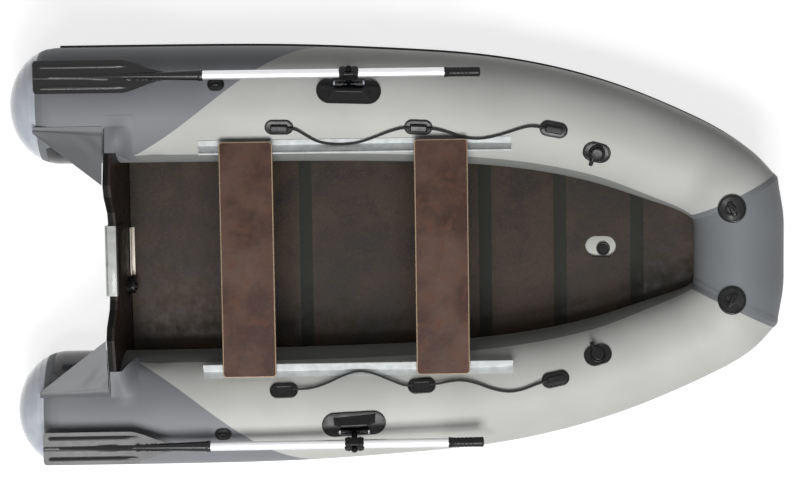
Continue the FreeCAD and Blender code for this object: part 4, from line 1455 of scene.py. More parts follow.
@dataclass
class Fittings:
    """Moulded fittings glued onto the tubes. Places are X and Y in the plan, in metres."""

    path: TubePath
    side_run: MitredSide
    bow: MitredBow
    eye_lift_mm: float = 2.6
    holder_places: Sequence[Pair] = ((-0.415, 0.469), (0.076, 0.462), (0.556, 0.447))
    holder_pad_mm: Pair = (102.0, 56.0)
    holder_body_mm: Triple = (62.0, 24.0, 20.0)
    rope_exit_mm: float = 11.0
    valve_place: Pair = (0.710, 0.362)
    valve_pad_mm: Pair = (104.0, 76.0)
    valve_grips: int = 12
    eye_place: Pair = (1.176, 0.163)
    eye_pad_mm: float = 100.0
    eye_lug_mm: Pair = (56.0, 20.0)
    eye_ring_mm: Pair = (17.0, 3.6)
    eye_ring_deg: float = 18.0
    rest_place: Pair = (-0.635, 0.622)
    rest_pad_mm: Pair = (60.0, 46.0)
    rest_knob_mm: Pair = (26.0, 20.0)

    @staticmethod
    def rim_pad(length: float, width: float, thick: float) -> Piece:
        """Model a glued pad with a rolled rim and a sunk face.

        Args:
            length: Size along X, in millimetres.
            width: Size along Y.
            thick: Height of its rim.

        Returns:
            The pad.
        """
        return pad(length, width, [(0, thick * 0.45), (0.9, thick * 0.35), (1.6, thick * 0.2), (2.2, 0.0),
                                   (1.4, -thick * 0.22), (3.0, -thick * 0.04), (4.0, thick * 0.1), (4.0, 0.1),
                                   (4.0, 0.0), (4.0, 0.0)])

    def holder(self) -> list[Piece]:
        """Model a rope holder's pieces, flat round their origin.

        Returns:
            The pieces.
        """
        length, width, height = self.holder_body_mm
        steps = [(0, height * 0.6), (0.8, height * 0.16), (1.2, height * 0.12), (1.6, height * 0.08),
                 (1.0, -0.8), (0.3, 0.0)]
        sleeves = [moved(turned([(6.6, 0), (6.6, 7.0), (5.6, 8.2), (4.4, 8.2)], 24),
                         (end * (length / 2 - 8.0) * MM, 0, self.rope_exit_mm * MM), (0, end * math.pi / 2, 0))
                   for end in (-1, 1)]
        return [self.rim_pad(*self.holder_pad_mm, 6.0), pad(length, width, steps, 5.0, 24), *sleeves]

    def air_valve(self) -> list[Piece]:
        """Model an inflation valve's pieces: pad, ring, cap with grips, spout.

        Returns:
            The pieces.
        """
        ring = turned([(30, 0), (30, 10.5), (28.5, 13.2), (26, 14), (24.4, 13.2), (23.8, 10.5)])
        cap = turned([(22.6, 9), (22.6, 18.6), (21.4, 21), (19.2, 22), (15.0, 22), (14.2, 20.4), (9.0, 20.4),
                      (8.2, 21.4), (3.0, 21.4)])
        grips = [moved(block((21.4 * MM, -1.6 * MM, 11 * MM), (23.8 * MM, 1.6 * MM, 19.4 * MM), 0.7, 2),
                       turn=(0, 0, math.tau * i / self.valve_grips)) for i in range(self.valve_grips)]
        spout = moved(turned([(8, 0), (8, 33.0), (7.2, 34.4), (5.2, 35.0), (4.4, 33.4), (4.2, 24.0)], 32),
                      (-8 * MM, -44 * MM, 15.5 * MM), (-math.pi / 2, 0, 0))
        return [self.rim_pad(*self.valve_pad_mm, 5.0), ring, cap, *grips, outward(spout)]

    def bow_eye(self) -> list[Piece]:
        """Model a bow eye's pieces: a round pad with a D-shaped lug and its steel ring.

        Returns:
            The pieces.
        """
        base = pad(self.eye_pad_mm, self.eye_pad_mm, [
            (0, 3.0), (1.2, 2.6), (2.0, 1.4), (3.2, 0.0), (1.6, -1.6), (5.0, 0.0), (6.0, 0.3), (6.0, 0.3),
            (6.0, 0.4), (6.0, 0.0), (6.0, 0.0)], corners=56)
        lug = pad(*self.eye_lug_mm, [(0, 9.0), (1.0, 4.0), (1.6, 2.4), (1.8, 1.2), (1.6, 0.4)], 6.0, 32)
        major, minor = (value * MM for value in self.eye_ring_mm)
        ring = moved(primitive("torus", major_radius=major, minor_radius=minor, major_segments=48,
                               minor_segments=14), (0, -6 * MM, 12 * MM), (math.radians(self.eye_ring_deg), 0, 0))
        return [base, lug, ring]

    def oar_rest(self) -> list[Piece]:
        """Model the pieces of the stud that an oar's shaft lies against."""
        knob = pad(*self.rest_knob_mm, [(0, 9.6), (1.0, 4.2), (1.4, 2.2), (1.6, 1.0), (1.4, 0.0)], 6.0, 24)
        return [self.rim_pad(*self.rest_pad_mm, 7.0), knob]

    def over_mitre(self, piece: Piece, place: Pair, side: Side) -> None:
        """Lay a flat piece over the mitre, where side and bow tube meet.

        Args:
            piece: Piece with X along the tube, Y outboard and Z out of it.
            place: X and Y of its middle.
            side: Side of the boat.
        """
        along, across, normal = self.path.axes(self.path.locate(*place))
        flat = coordinates(piece)
        x, y = (np.array(place) + flat[:, :1] * along[:2] + flat[:, 1:2] * across[:2]).T
        turn = math.radians(self.bow.corner_deg)
        ahead = (x - self.bow.corner[0]) * math.cos(turn) - (y - self.bow.corner[1]) * math.sin(turn)
        level = np.where(ahead > 0, self.bow.height(x, y), self.side_run.height(x, y))
        places = np.column_stack([x, y, level]) + (flat[:, 2:] + self.eye_lift_mm * MM) * normal
        outward(reshaped(piece, places * (1, side.value, 1)))

    def build(self) -> None:
        """Model each fitting once, and lay its copies onto both tubes."""
        for name, pieces, smooth_deg, places in (
                ("rope_holder", self.holder(), 38.0, self.holder_places),
                ("air_valve", self.air_valve(), 35.0, [self.valve_place]),
                ("bow_eye", self.bow_eye(), 38.0, [self.eye_place]),
                ("oar_rest", self.oar_rest(), 38.0, [self.rest_place])):
            model = smooth(joined(pieces, name), smooth_deg)
            for number, place in enumerate(places, 1):
                for side in Side:
                    twin = model.copy()
                    twin.data = model.data.copy()
                    bpy.context.collection.objects.link(twin)
                    if name == "bow_eye":
                        self.over_mitre(twin, place, side)
                    else:
                        self.path.wrap(twin, self.path.locate(*place), side)
                    dressed([twin], f"{side.word}_{name}_{number}", None, "hull", [f"{name}s"],
                            "fitting_rubber", FITTING)
            bpy.data.objects.remove(model)


@dataclass
class Bottom:
    """Bottom skin, keel tube and its valve, floor boards and the profiles that join them."""

    valve_radius_mm: float = 25.0
    boards: int = 5
    joints: int = 4
    web_thick_mm: float = 1.8
    web_inner: Sequence[Triple] = (
        (0.960, 0.252, 0.0955), (0.988, 0.244, 0.1025), (1.018, 0.232, 0.1110), (1.047, 0.219, 0.1195),
        (1.078, 0.198, 0.1320), (1.100, 0.178, 0.1450), (1.122, 0.158, 0.1550), (1.136, 0.140, 0.1610),
        (1.148, 0.112, 0.1660), (1.154, 0.056, 0.1690), (1.156, 0.0, 0.1690))
    web_outer: Sequence[Triple] = (
        (1.020, 0.330, 0.0985), (1.050, 0.310, 0.1065), (1.080, 0.290, 0.1180), (1.110, 0.272, 0.1320),
        (1.140, 0.250, 0.1480), (1.165, 0.235, 0.1600), (1.190, 0.213, 0.1700), (1.205, 0.195, 0.1710),
        (1.215, 0.150, 0.1710), (1.225, 0.070, 0.1710), (1.225, 0.0, 0.1710))

    def keel_valve(self) -> None:
        """Model the keel tube's valve: flange, ring and ribbed cap."""
        low, high = (Vector(corner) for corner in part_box("keel_valve"))
        h, r = (high.z - low.z) / MM, self.valve_radius_mm
        valve = turned([(r, 0), (r, h - 6), (r - 1.2, h - 4.4), (r - 4, h - 4), (r - 5.4, h - 4.6), (17, h - 4.6),
                        (17, h - 1.2), (15.8, h), (7, h), (6, h - 1.4), (2, h - 1.4)])
        middle = (low + high) / 2
        dressed([moved(valve, (middle.x, middle.y, low.z))], "keel_valve_moulded", None, "hull", ["keel_valve"],
                "black_plastic", NYLON)

    def bow_web(self) -> None:
        """Model the bottom cloth's glued edge, which runs up to the bow tube round both corners."""
        def place(u: Array, v: Array) -> Array:
            """Span from the skin's edge into the tubes.

            Args:
                u: Shares along U.
                v: Shares along V.

            Returns:
                Rows of X, Y and Z.
            """
            edges = []
            for port in (np.array(self.web_inner), np.array(self.web_outer)):
                both = np.concatenate([port, port[-2::-1] * (1, -1, 1)])
                stations = np.linspace(0.0, 1.0, len(both))
                edges.append(np.stack([np.interp(u, stations, column) for column in both.T], axis=-1))
            return between(edges, v[..., None])

        dressed([thickened(surface((80, 8), place), self.web_thick_mm)], "bow_bottom_web", 60.0, "hull", [],
                "bottom_pvc", BOTTOM_CLOTH)

    def build(self) -> None:
        """Model the web and the valve, and dress the kept nodes."""
        self.bow_web()
        self.keel_valve()
        carry("bottom_skin", BOTTOM_CLOTH)
        carry("keel_tube", KEEL_CLOTH)
        for number in range(1, self.boards + 1):
            carry(f"floor_panel_{number}", FLOOR_PLY)
        for number in range(1, self.joints + 1):
            carry(f"floor_joint_{number}", JOINT)


@dataclass
class Transom:
    """Transom board with its edging, motor plates, foot angle, drain valve and cloth gussets."""

    path: TubePath
    rake_deg: float = 3.8
    pivot: Pair = (-1.008, 0.450)  # X and Z that the board leans about
    outer_x: Pair = (-1.0481, -1.008)
    outer_z: Pair = (0.190, 0.3671)
    inner_x: Pair = (-1.0079, -1.0019)
    inner_z: Pair = (0.245, 0.3671)
    plate_half_y: float = 0.126
    drain: Triple = (-1.0079, -0.116, 0.118)
    drain_grips: int = 10
    corner: Triple = (-1.0385, 0.470, 0.404)
    peak: Pair = (0.275, 0.450)  # Y and Z of the board's highest point
    fold_x: Pair = (-0.925, -1.0290)
    fold_y: Triple = (0.350, 0.388, 0.520)
    fold_thick_mm: float = 1.2
    fold_puff: float = 0.012  # how far the fold stands off between its edges
    gusset_aft_x: float = -1.270
    gusset_overrun: float = 0.012  # how far the cloth runs past its corner
    gusset_tip: float = 0.010  # width of its aft end
    flange: float = 0.011
    flange_share: float = 0.16  # share of the sheet's faces on the flange
    foot_base: float = 0.015
    cloth_mm: float = 1.6
    cut_allowance: float = 1.09  # set after the modelled cloth measured 9% more

    def raked(self, piece: Piece) -> Piece:
        """Turn a piece with the board's lean.

        Args:
            piece: Piece that was made upright.

        Returns:
            The piece.
        """
        turn = -math.radians(self.rake_deg)
        places = coordinates(piece)
        x, z = places[:, 0] - self.pivot[0], places[:, 2] - self.pivot[1]
        places[:, 0] = self.pivot[0] + x * math.cos(turn) + z * math.sin(turn)
        places[:, 2] = self.pivot[1] - x * math.sin(turn) + z * math.cos(turn)
        return reshaped(piece, places)

    def plates(self) -> None:
        """Model the two motor plates: one hooked over the top, aft, and one with bolts inside."""
        half = self.plate_half_y
        (x, back), (low, high) = self.outer_x, self.outer_z
        parts = [block((x, -half, low), (x + 0.012, half, high), 3.0),
                 block((x + 0.002, -half, high - 0.005), (back, half, high), 1.6)]
        parts += [block((x - 0.0015, y - 0.004, low + 0.012), (x + 0.004, y + 0.004, high - 0.012), 1.4)
                  for y in (0.012 - half, half - 0.012)]
        parts += [block((x - 0.001, 0.022 - half, z), (x + 0.004, half - 0.022, z + 0.006), 1.4)
                  for z in np.linspace(low + 0.03, high - 0.04, 7)]
        dressed([self.raked(part) for part in parts], "outer_motor_pad", 40.0, "hull", ["outer_motor_plate"],
                "motor_plate", PLATE)
        (x, front), (low, high) = self.inner_x, self.inner_z
        parts = [block((x, -half, low), (front, half, high), 1.6)]
        parts += [rod((front - 0.001, y, z), [(7.5, 0), (7.5, 1.6), (6.2, 3.2), (3.0, 3.8)], 24)
                  for y in (0.022 - half, half - 0.022) for z in (low + 0.02, high - 0.03)]
        dressed([self.raked(part) for part in parts], "inner_motor_pad", 40.0, "hull", ["inner_motor_plate"],
                "motor_plate", DARK_PLATE)

    def foot(self) -> None:
        """Model the alloy angle at the board's foot, with its screws."""
        low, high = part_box("transom_foot")
        parts = [block(low, (low[0] + 0.004, high[1], high[2]), 0.8),
                 block(low, (low[0] + self.foot_base, high[1], low[2] + 0.004), 0.8)]
        parts += [rod((low[0] + 0.0035, y, high[2] - 0.012), [(4.6, 0), (4.6, 0.8), (3.4, 2.0), (1.5, 2.4)], 20)
                  for y in np.linspace(low[1] + 0.02, high[1] - 0.02, 4)]
        dressed(parts, "transom_foot_angle", 40.0, "hull", ["transom_foot"], "foot_alloy", FOOT_ALLOY)

    def drain_valve(self) -> None:
        """Model the drain valve with its plug."""
        parts = [rod(self.drain, [
            (38, 0), (38, 2.2), (36.6, 4.0), (33, 4.6), (31.4, 6.0), (31.4, 8.0), (30, 9.0), (27, 9.0),
            (25.8, 10.4), (25.8, 21.6), (24.6, 23.4), (22, 24.0), (14.6, 24.0), (13.7, 25.0), (13.7, 28.6),
            (12.4, 29.8), (10, 30.0), (4, 30.0)], 48)]
        parts += [moved(block((0.011, 0.0250, -0.0016), (0.0215, 0.0272, 0.0016), 0.6, 2), self.drain,
                        (math.tau * i / self.drain_grips, 0, 0)) for i in range(self.drain_grips)]
        dressed([self.raked(part) for part in parts], "transom_drain", 35.0, "hull", ["drain_valve"],
                "black_plastic", NYLON)

    def corner_fold(self, side: Side) -> None:
        """Model the tube's cloth where it is drawn up over the board's outer corner.

        Args:
            side: Side of the boat.
        """
        low_y, high_y, outer_y = self.fold_y
        at = self.fold_x[0] - self.path.dome_x
        spread, radius, level = (float(self.path.value(key, at)) for key in ("y", "r", "z"))

        def place(u: Array, v: Array) -> Array:
            """Run from the tube up the board's forward face and over its top.

            Args:
                u: Shares along U.
                v: Shares along V.

            Returns:
                Rows of X, Y and Z.
            """
            y = between((between((low_y, high_y), np.clip(u / 0.6, 0.0, 1.0) ** 2), outer_y), v)
            top = np.interp(y, (self.peak[0], self.corner[1], 0.6), (self.peak[1], self.corner[2], 0.373)) + 0.0045
            tube = level + np.sqrt(np.maximum(radius ** 2 - (y - spread) ** 2, 0.0)) + 0.0012
            rise = np.clip(u / 0.74, 0.0, 1.0)
            puff = self.fold_puff * np.sin(math.pi * np.clip(u / 0.95, 0, 1)) ** 2 * np.sin(math.pi * v) ** 2
            z = tube + np.maximum(top - tube, 0.0) * rise * rise * (3 - 2 * rise) + puff
            return np.stack([between(self.fold_x, u), side.value * y, z], axis=-1)

        dressed([thickened(surface((56, 40), place), self.fold_thick_mm)], f"{side.word}_transom_fold", 60.0,
                "hull", [], "gusset_pvc", FOLD_CLOTH)

    def gusset(self, side: Side) -> None:
        """Model the cloth gusset between transom and tube, glued down along a flange.

        Args:
            side: Side of the boat.
        """
        corner_x, outer_y, outer_z = self.corner
        peak_y, peak_z = self.peak
        share, r = self.flange_share, self.path.stern_radius
        length = corner_x - self.gusset_aft_x + self.gusset_overrun

        def place(u: Array, v: Array) -> Array:
            """Place the cloth: a flange on the tube, then the free triangle.

            Args:
                u: Shares along U.
                v: Shares along V.

            Returns:
                Rows of X, Y and Z.
            """
            free = np.clip((v - share) / (1 - share), 0, 1)
            wide = between((self.gusset_tip, outer_y - peak_y), u)
            y = outer_y + self.flange * (1 - np.clip(v / share, 0, 1)) - free * wide
            tube_z = r + np.sqrt(np.maximum(r * r - (y - self.path.stern_spread) ** 2, 0.0))
            plane_z = outer_z + (outer_y - y) * (peak_z - outer_z) / (outer_y - peak_y)
            bulge = free * (1 - free) * 4
            near = np.exp(-((u - 0.86) / 0.22) ** 2 - ((free - 0.25) / 0.3) ** 2)
            creases = 0.0014 * np.sin(5.0 * u + 4.5 * free) + 0.0036 * near * np.sin(13.0 * u - 9.0 * free + 0.6)
            cloth_z = plane_z - 0.0015 - bulge * (0.006 * u) + bulge * creases
            z = between((tube_z + 0.0012, cloth_z), np.clip(free / 0.12, 0, 1))
            x = self.gusset_aft_x - self.gusset_overrun + u * length
            return np.stack([x, side.value * y, np.maximum(z, tube_z + 0.0010)], axis=-1)

        cloth = dressed([thickened(surface((70, 60), place), self.cloth_mm, offset=0.0)],
                        f"{side.word}_gusset_cloth", 50.0, "hull", [f"{side.word}_gusset"], "gusset_pvc",
                        GUSSET_CLOTH)

    def build(self) -> None:
        """Model the transom's pieces and dress the kept nodes."""
        self.plates()
        self.foot()
        self.drain_valve()
        for model in (self.corner_fold, self.gusset):
            for side in Side:
                model(side)
        carry("transom_board", TRANSOM_PLY)
        carry("transom_cover", COVER)


@dataclass
class Seats:
    """The two seat boards with their runners, and the bolt-rope rails."""

    length_mm: float = 840.0
    width_mm: float = 190.0
    thick_mm: float = 12.0
    corner_mm: float = 14.0
    round_mm: float = 3.6
    edge_normal_z: float = 0.96  # faces that stand steeper than this show the ply's edge

    def board(self, body: str) -> None:
        """Model a seat board of film-faced ply with bare edges.

        Args:
            body: Name of the seat's body.
        """
        low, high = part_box(body)
        steps = [(0, self.thick_mm - self.round_mm), (0.9, 1.8), (1.2, 1.1), (1.5, 0.7)]
        board = moved(pad(self.width_mm, self.length_mm, steps, self.corner_mm, 40),
                      ((low[0] + high[0]) / 2, 0, low[2]))
        board = dressed([outward(board)], f"{body}_board", 30.0, body, [body], "seat_ply", SEAT_PLY, PLY_EDGE)
        for face in board.data.polygons:
            face.material_index = int(abs(face.normal.z) < self.edge_normal_z)

    def build(self) -> None:
        """Model the boards and dress the runners and rails."""
        for body in ("aft_seat", "fore_seat"):
            self.board(body)
            carry(f"{body}_runners", NYLON)
        for side in Side:
            carry(f"{side.word}_rail", RAIL)


@dataclass
class Rowlock:
    """One side's rowlock, modelled for port: pad with its hump, ears, hinge bar and leaning pin."""

    path: TubePath
    side: Side
    x: float = -0.166
    base_y: float = 0.594
    pad_mm: Triple = (228.0, 92.0, 8.0)
    hump_length_mm: Pair = (174.0, 96.0)  # at its foot and at its top
    hump_inner_mm: Pair = (-46.0, -11.0)  # the slanted face, at its foot and at its top
    hump_outer_mm: float = -1.0
    hump_z_mm: Pair = (-6.0, 30.0)
    panel_mm: Pair = (5.5, 1.8)  # width of its frame, and how far it is sunk
    hinge: Pair = (0.620, 0.409)
    bar_mm: Pair = (6.0, 112.0)
    ear_mm: Triple = (13.0, 26.0, 26.0)  # radius, length along the bar, depth below it
    foot_mm: Pair = (10.5, 44.0)
    play_mm: float = 1.0
    lean_deg: float = 38.0
    pin_radius_mm: float = 6.0
    to_shaft_mm: float = 59.0
    collar_height_mm: float = 46.0
    cap_mm: Pair = (11.0, 9.0)

    def hump(self) -> Piece:
        """Model the hump, stood on the tube, with a panel sunk into its slanted inner face.

        Returns:
            The hump.
        """
        hump = primitive("cube", size=2)
        x, y, z = coordinates(hump).T
        half, inner, height = (np.where(z < 0, *ends) for ends in (
            self.hump_length_mm, self.hump_inner_mm, self.hump_z_mm))
        reshaped(hump, np.column_stack([x * half / 2, np.where(y < 0, inner, self.hump_outer_mm), height]) * MM)
        in_edit(hump, lambda: bpy.ops.mesh.select_mode(type="FACE"),
                lambda: bpy.ops.mesh.select_all(action="DESELECT"), every=False)
        for face in hump.data.polygons:
            face.select = face.normal.y < -0.4
        frame_mm, sink_mm = self.panel_mm
        in_edit(hump, lambda: bpy.ops.mesh.inset(thickness=frame_mm * MM, depth=-sink_mm * MM), every=False)
        in_edit(hump, lambda: bpy.ops.mesh.select_mode(type="VERT"))
        bevel(hump, 3.2, 4, 20.0)
        place = self.path.locate(self.x, self.base_y)
        return reshaped(hump, self.path.points(*place, 0.0) + coordinates(hump) @ self.path.axes(place))

    def ear(self, sign: int) -> Piece:
        """Model one of the two ears that hold the hinge bar.

        Args:
            sign: 1 for the ear towards the bow, -1 for the other.

        Returns:
            The ear.
        """
        radius, length, depth = (value * MM for value in self.ear_mm)
        ear = moved(primitive("circle", vertices=36, radius=radius, fill_type="NGON"), turn=(0, math.pi / 2, 0))
        places = coordinates(ear)
        places[:, 2] -= np.where(places[:, 2] < -1e-6, depth, 0.0)
        places[:, 0] = (self.foot_mm[1] / 2 + self.play_mm) * MM
        in_edit(reshaped(ear, places),
                lambda: bpy.ops.mesh.extrude_region_move(TRANSFORM_OT_translate={"value": (length, 0, 0)}))
        bevel(capped(ear), 1.6)
        return outward(reshaped(ear, coordinates(ear) * (sign, 1, 1) + (self.x, *self.hinge)))

    def base(self) -> None:
        """Model the glued base."""
        length, width, thick = self.pad_mm
        steps = [(0, thick * 0.4), (1.0, thick * 0.34), (1.8, thick * 0.26), (2.6, 0.0), (1.2, -1.1)]
        plate = self.path.wrap(pad(length, width, steps + [(5.0, 0.0)] * 7, corners=64),
                               self.path.locate(self.x, self.base_y), Side.PORT)
        dressed([plate, self.hump(), self.ear(-1), self.ear(1)], f"{self.side.word}_rowlock_mount", 38.0, "hull",
                [f"{self.side.word}_rowlock_base"], "black_plastic", NYLON, side=self.side)

    def bar(self) -> None:
        """Model the hinge bar with its end nuts."""
        radius, length = self.bar_mm
        parts = [rod((self.x - length / 2 * MM, *self.hinge),
                     [(radius - 1, 0), (radius, 1), (radius, length - 1), (radius - 1, length)])]
        reach = (self.foot_mm[1] / 2 + self.play_mm + self.ear_mm[1]) * MM
        parts += [rod((self.x + end * reach, *self.hinge), [(9.5, -0.3), (9.5, 4.2), (8.4, 5.2), (6.2, 5.2)], 6,
                      end < 0) for end in (-1, 1)]
        dressed(parts, f"{self.side.word}_hinge_bar", 30.0, "hull", ["hinge_bars"], "rowlock_steel", STEEL,
                side=self.side)

    def pin(self) -> None:
        """Model the leaning pin: bored foot, shoulder, shank and cap."""
        radius, length = self.foot_mm
        foot = rod((self.x - length / 2 * MM, *self.hinge), [
            (radius - 2.4, 0), (radius - 1.0, 0), (radius, 1.0), (radius, length - 1.0), (radius - 1.0, length),
            (radius - 2.4, length)], 40)
        reach = self.collar_height_mm / 2 + self.play_mm
        low, top = self.to_shaft_mm - reach, self.to_shaft_mm + reach
        cap_r, cap_l = self.cap_mm
        r = self.pin_radius_mm
        stem = turned([(radius, 0), (radius, low - 4), (radius - 0.8, low - 1.2), (radius - 2.0, low), (r, low),
                       (r, top), (cap_r - 0.8, top), (cap_r, top + 1.0), (cap_r, top + cap_l - 2.5),
                       (cap_r - 1.4, top + cap_l - 0.6), (cap_r - 4.0, top + cap_l), (3.0, top + cap_l)], 40)
        stem = moved(stem, (self.x, *self.hinge), (-math.radians(self.lean_deg), 0, 0))
        dressed([foot, stem], f"{self.side.word}_rowlock_spindle", 35.0, f"{self.side.word}_rowlock",
                [f"{self.side.word}_rowlock_pin"], "rowlock_steel", BLACK_STEEL, side=self.side)

    def build(self) -> None:
        """Model the whole rowlock."""
        self.base()
        self.bar()
        self.pin()


@dataclass
class Oar:
    """One oar, modelled for port: ribbed blade, alloy shaft, grip, and the collar that turns on the pin."""

    side: Side
    rowlock: Rowlock
    aft_x: float = -1.268
    full_x: float = -0.960  # where the blade starts to taper
    neck_x: float = -0.799
    shaft_x: float = -0.676
    grip_x: float = 0.168
    fore_x: float = 0.294
    blade_mm: Triple = (116.0, 5.0, 12.0)  # width, thickness and corner radius
    rib_mm: Pair = (4.0, 15.0)  # half thickness of the middle rib, aft and at the neck
    side_rib_mm: Triple = (37.0, 2.4, 3.0)  # place, height and width
    rib_start: float = 0.02
    neck_mm: float = 19.0
    shaft_radius_mm: float = 16.0
    overlap_mm: float = 60.0
    grip_mm: Triple = (17.5, 19.0, 10.0)  # radius, the lip's radius and length
    collar_mm: Triple = (68.0, 38.0, 38.0)

    @property
    def centre(self) -> Pair:
        """Find the axis of the port oar's shaft.

        Returns:
            Its Y and Z.
        """
        lean, reach = math.radians(self.rowlock.lean_deg), self.rowlock.to_shaft_mm * MM
        y, z = self.rowlock.hinge
        return (y + reach * math.sin(lean), z + reach * math.cos(lean))

    def half_width(self, x: Array) -> Array:
        """Work out the blade's half width.

        Args:
            x: Places along the oar.

        Returns:
            Half widths there.
        """
        wide, _, corner = (value * MM for value in self.blade_mm)
        half, neck, root = wide / 2, self.neck_mm * MM, self.rib_mm[1] * MM
        end = half - corner + np.sqrt(np.maximum(corner ** 2 - np.maximum(corner - (x - self.aft_x), 0) ** 2, 0))
        t = np.clip((x - self.full_x) / (self.neck_x - self.full_x), 0, 1)
        taper = between((half, root), np.sin(0.5 * math.pi * t ** 1.25) ** 1.15)
        cone = between((root, neck), np.clip((x - self.neck_x) / (self.shaft_x - self.neck_x), 0, 1))
        return np.where(x < self.full_x, end, np.where(x < self.neck_x, taper, cone))

    def half_thickness(self, x: Array, y: Array, half: Array) -> Array:
        """Work out the blade's half thickness: sheet, middle rib and two side ribs.

        Args:
            x: Places along the oar.
            y: Places off its middle.
            half: Half widths at x.

        Returns:
            Half thicknesses there.
        """
        start = self.aft_x + self.rib_start
        t = np.clip((x - start) / (self.neck_x - start), 0, 1)
        rib = np.where(x > self.neck_x, half, between([value * MM for value in self.rib_mm], t ** 1.7))
        middle = np.sqrt(np.maximum(rib ** 2 - y ** 2, 0.0))
        edge = np.sqrt(np.maximum(half ** 2 - y ** 2, 0.0))
        side_y, side_high, side_wide = (value * MM for value in self.side_rib_mm)
        on_blade = np.clip((self.full_x + 0.03 - x) / 0.05, 0, 1) * np.clip((x - start) / 0.01, 0, 1)
        side_rib = on_blade * side_high * np.exp(-((np.abs(y) - np.minimum(side_y, half * 0.7)) / side_wide) ** 2)
        return np.maximum(np.minimum(self.blade_mm[1] * MM / 2, edge * 0.9) + side_rib, middle)

    def blade(self) -> list[Piece]:
        """Model the blade with its neck, and the neck's lip.

        Returns:
            Both pieces.
        """
        cy, cz = self.centre

        def place(u: Array, v: Array) -> Array:
            """Wrap the section at each x: over the top, then back below.

            Args:
                u: Shares along U.
                v: Shares along V.

            Returns:
                Rows of X, Y and Z.
            """
            x = between((self.aft_x, self.shaft_x), u)
            half = self.half_width(x)
            turn = math.tau * v
            share = -np.cos(turn)
            y = half * np.sign(share) * np.abs(share) ** 0.9
            over = np.where(np.sin(turn) >= -1e-9, 1.0, -1.0) * (np.abs(np.sin(turn)) >= 1e-6)
            return np.stack([x, cy + y, cz + self.half_thickness(x, y, half) * over], axis=-1)

        lip = rod((self.shaft_x - 0.016, cy, cz), [(16.2, 0), (19.6, 1.2), (20.4, 3.0), (20.4, 13.0),
                                                   (19.4, 15.6), (16.2, 16)], 40)
        return [capped(surface((150, 88), place, closed=True)), lip]

    def grip(self) -> list[Piece]:
        """Model the grip: lip, ribbed hand part and rounded end.

        Returns:
            A list of the one piece.
        """
        radius, lip, lip_length = self.grip_mm
        length = (self.fore_x - self.grip_x) / MM
        steps = [(lip - 2, 0), (lip, 1.2), (lip, lip_length - 1.2), (radius, lip_length + 1)]
        for at in (26.0, 40.0, 54.0, 68.0, 82.0):
            steps += [(radius, at), (radius - 1.1, at + 1.4), (radius - 1.1, at + 3.2), (radius, at + 4.6)]
        steps += [(radius, length - 12), (radius + 0.8, length - 8), (radius, length - 3.4),
                  (radius - 2.4, length - 0.8), (radius - 6, length), (5.0, length)]
        return [rod((self.grip_x, *self.centre), steps, 44)]

    def shaft(self) -> list[Piece]:
        """Model the alloy tube.

        Returns:
            A list of the one piece.
        """
        start = self.shaft_x - self.overlap_mm * MM
        length = (self.grip_x + self.overlap_mm * MM - start) / MM
        rings = [(self.shaft_radius_mm, length * share) for share in np.linspace(0, 1, 12)]
        return [rod((start, *self.centre), rings, 48)]

    def collar(self) -> list[Piece]:
        """Model the collar block with its clamp bands and flange.

        Returns:
            Its pieces.
        """
        x, y, z = (value * MM / 2 for value in self.collar_mm)
        parts = [block((-x, -y, -z), (x, y, z), 7.0, 5)]
        parts += [block((at - 0.005, -y - 0.0012, -z - 0.0008), (at + 0.005, y + 0.0012, z + 0.0008), 5.0, 4)
                  for at in (-0.020, 0.020)]
        parts += [block((-x - 0.001, -0.003, -z + 0.004), (x + 0.001, 0.003, z + 0.0010), 1.2)]
        lean = -math.radians(self.rowlock.lean_deg)
        return [moved(part, (self.rowlock.x, *self.centre), (lean, 0, 0)) for part in parts]

    def build(self) -> None:
        """Model the oar's pieces and dress them."""
        for word, pieces, smooth_deg, slot, finish in (
                ("blade", self.blade(), 34.0, "oar_plastic", BLADE), ("shaft", self.shaft(), None, "oar_alloy", ALLOY),
                ("grip", self.grip(), None, "oar_plastic", NYLON),
                ("collar", self.collar(), 35.0, "oar_plastic", NYLON)):
            dressed(pieces, f"{self.side.word}_{word}", smooth_deg, f"{self.side.word}_oar",
                    [f"{self.side.word}_oar_{word}"], slot, finish, side=self.side)


@dataclass
class LifeLine:
    """A rope span between two holders, slack along the tube."""

    name: str
    length: float
    route_mm: Sequence[Triple]
    diameter: float = 0.008

    def build(self) -> None:
        """Model the rope as a smooth NURBS curve."""
        curve = bpy.data.curves.new(f"{self.name}_rope", "CURVE")
        curve.dimensions = "3D"
        curve.bevel_depth = self.diameter / 2
        curve.bevel_resolution = 6
        curve.resolution_u = 16
        spline = curve.splines.new("NURBS")
        spline.points.add(len(self.route_mm) - 1)
        for point, place in zip(spline.points, self.route_mm):
            point.co = (*(value * MM for value in place), 1.0)
        spline.order_u = 3
        spline.use_endpoint_u = True
        curve.use_fill_caps = True
        rope = bpy.data.objects.new(f"{self.name}_rope", curve)
        bpy.context.collection.objects.link(rope)
        curve.materials.append(ROPE.material())
        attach(rope, "hull")
        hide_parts(self.name)
        LOG.info("%s: rope of %.3f m", self.name, self.length)


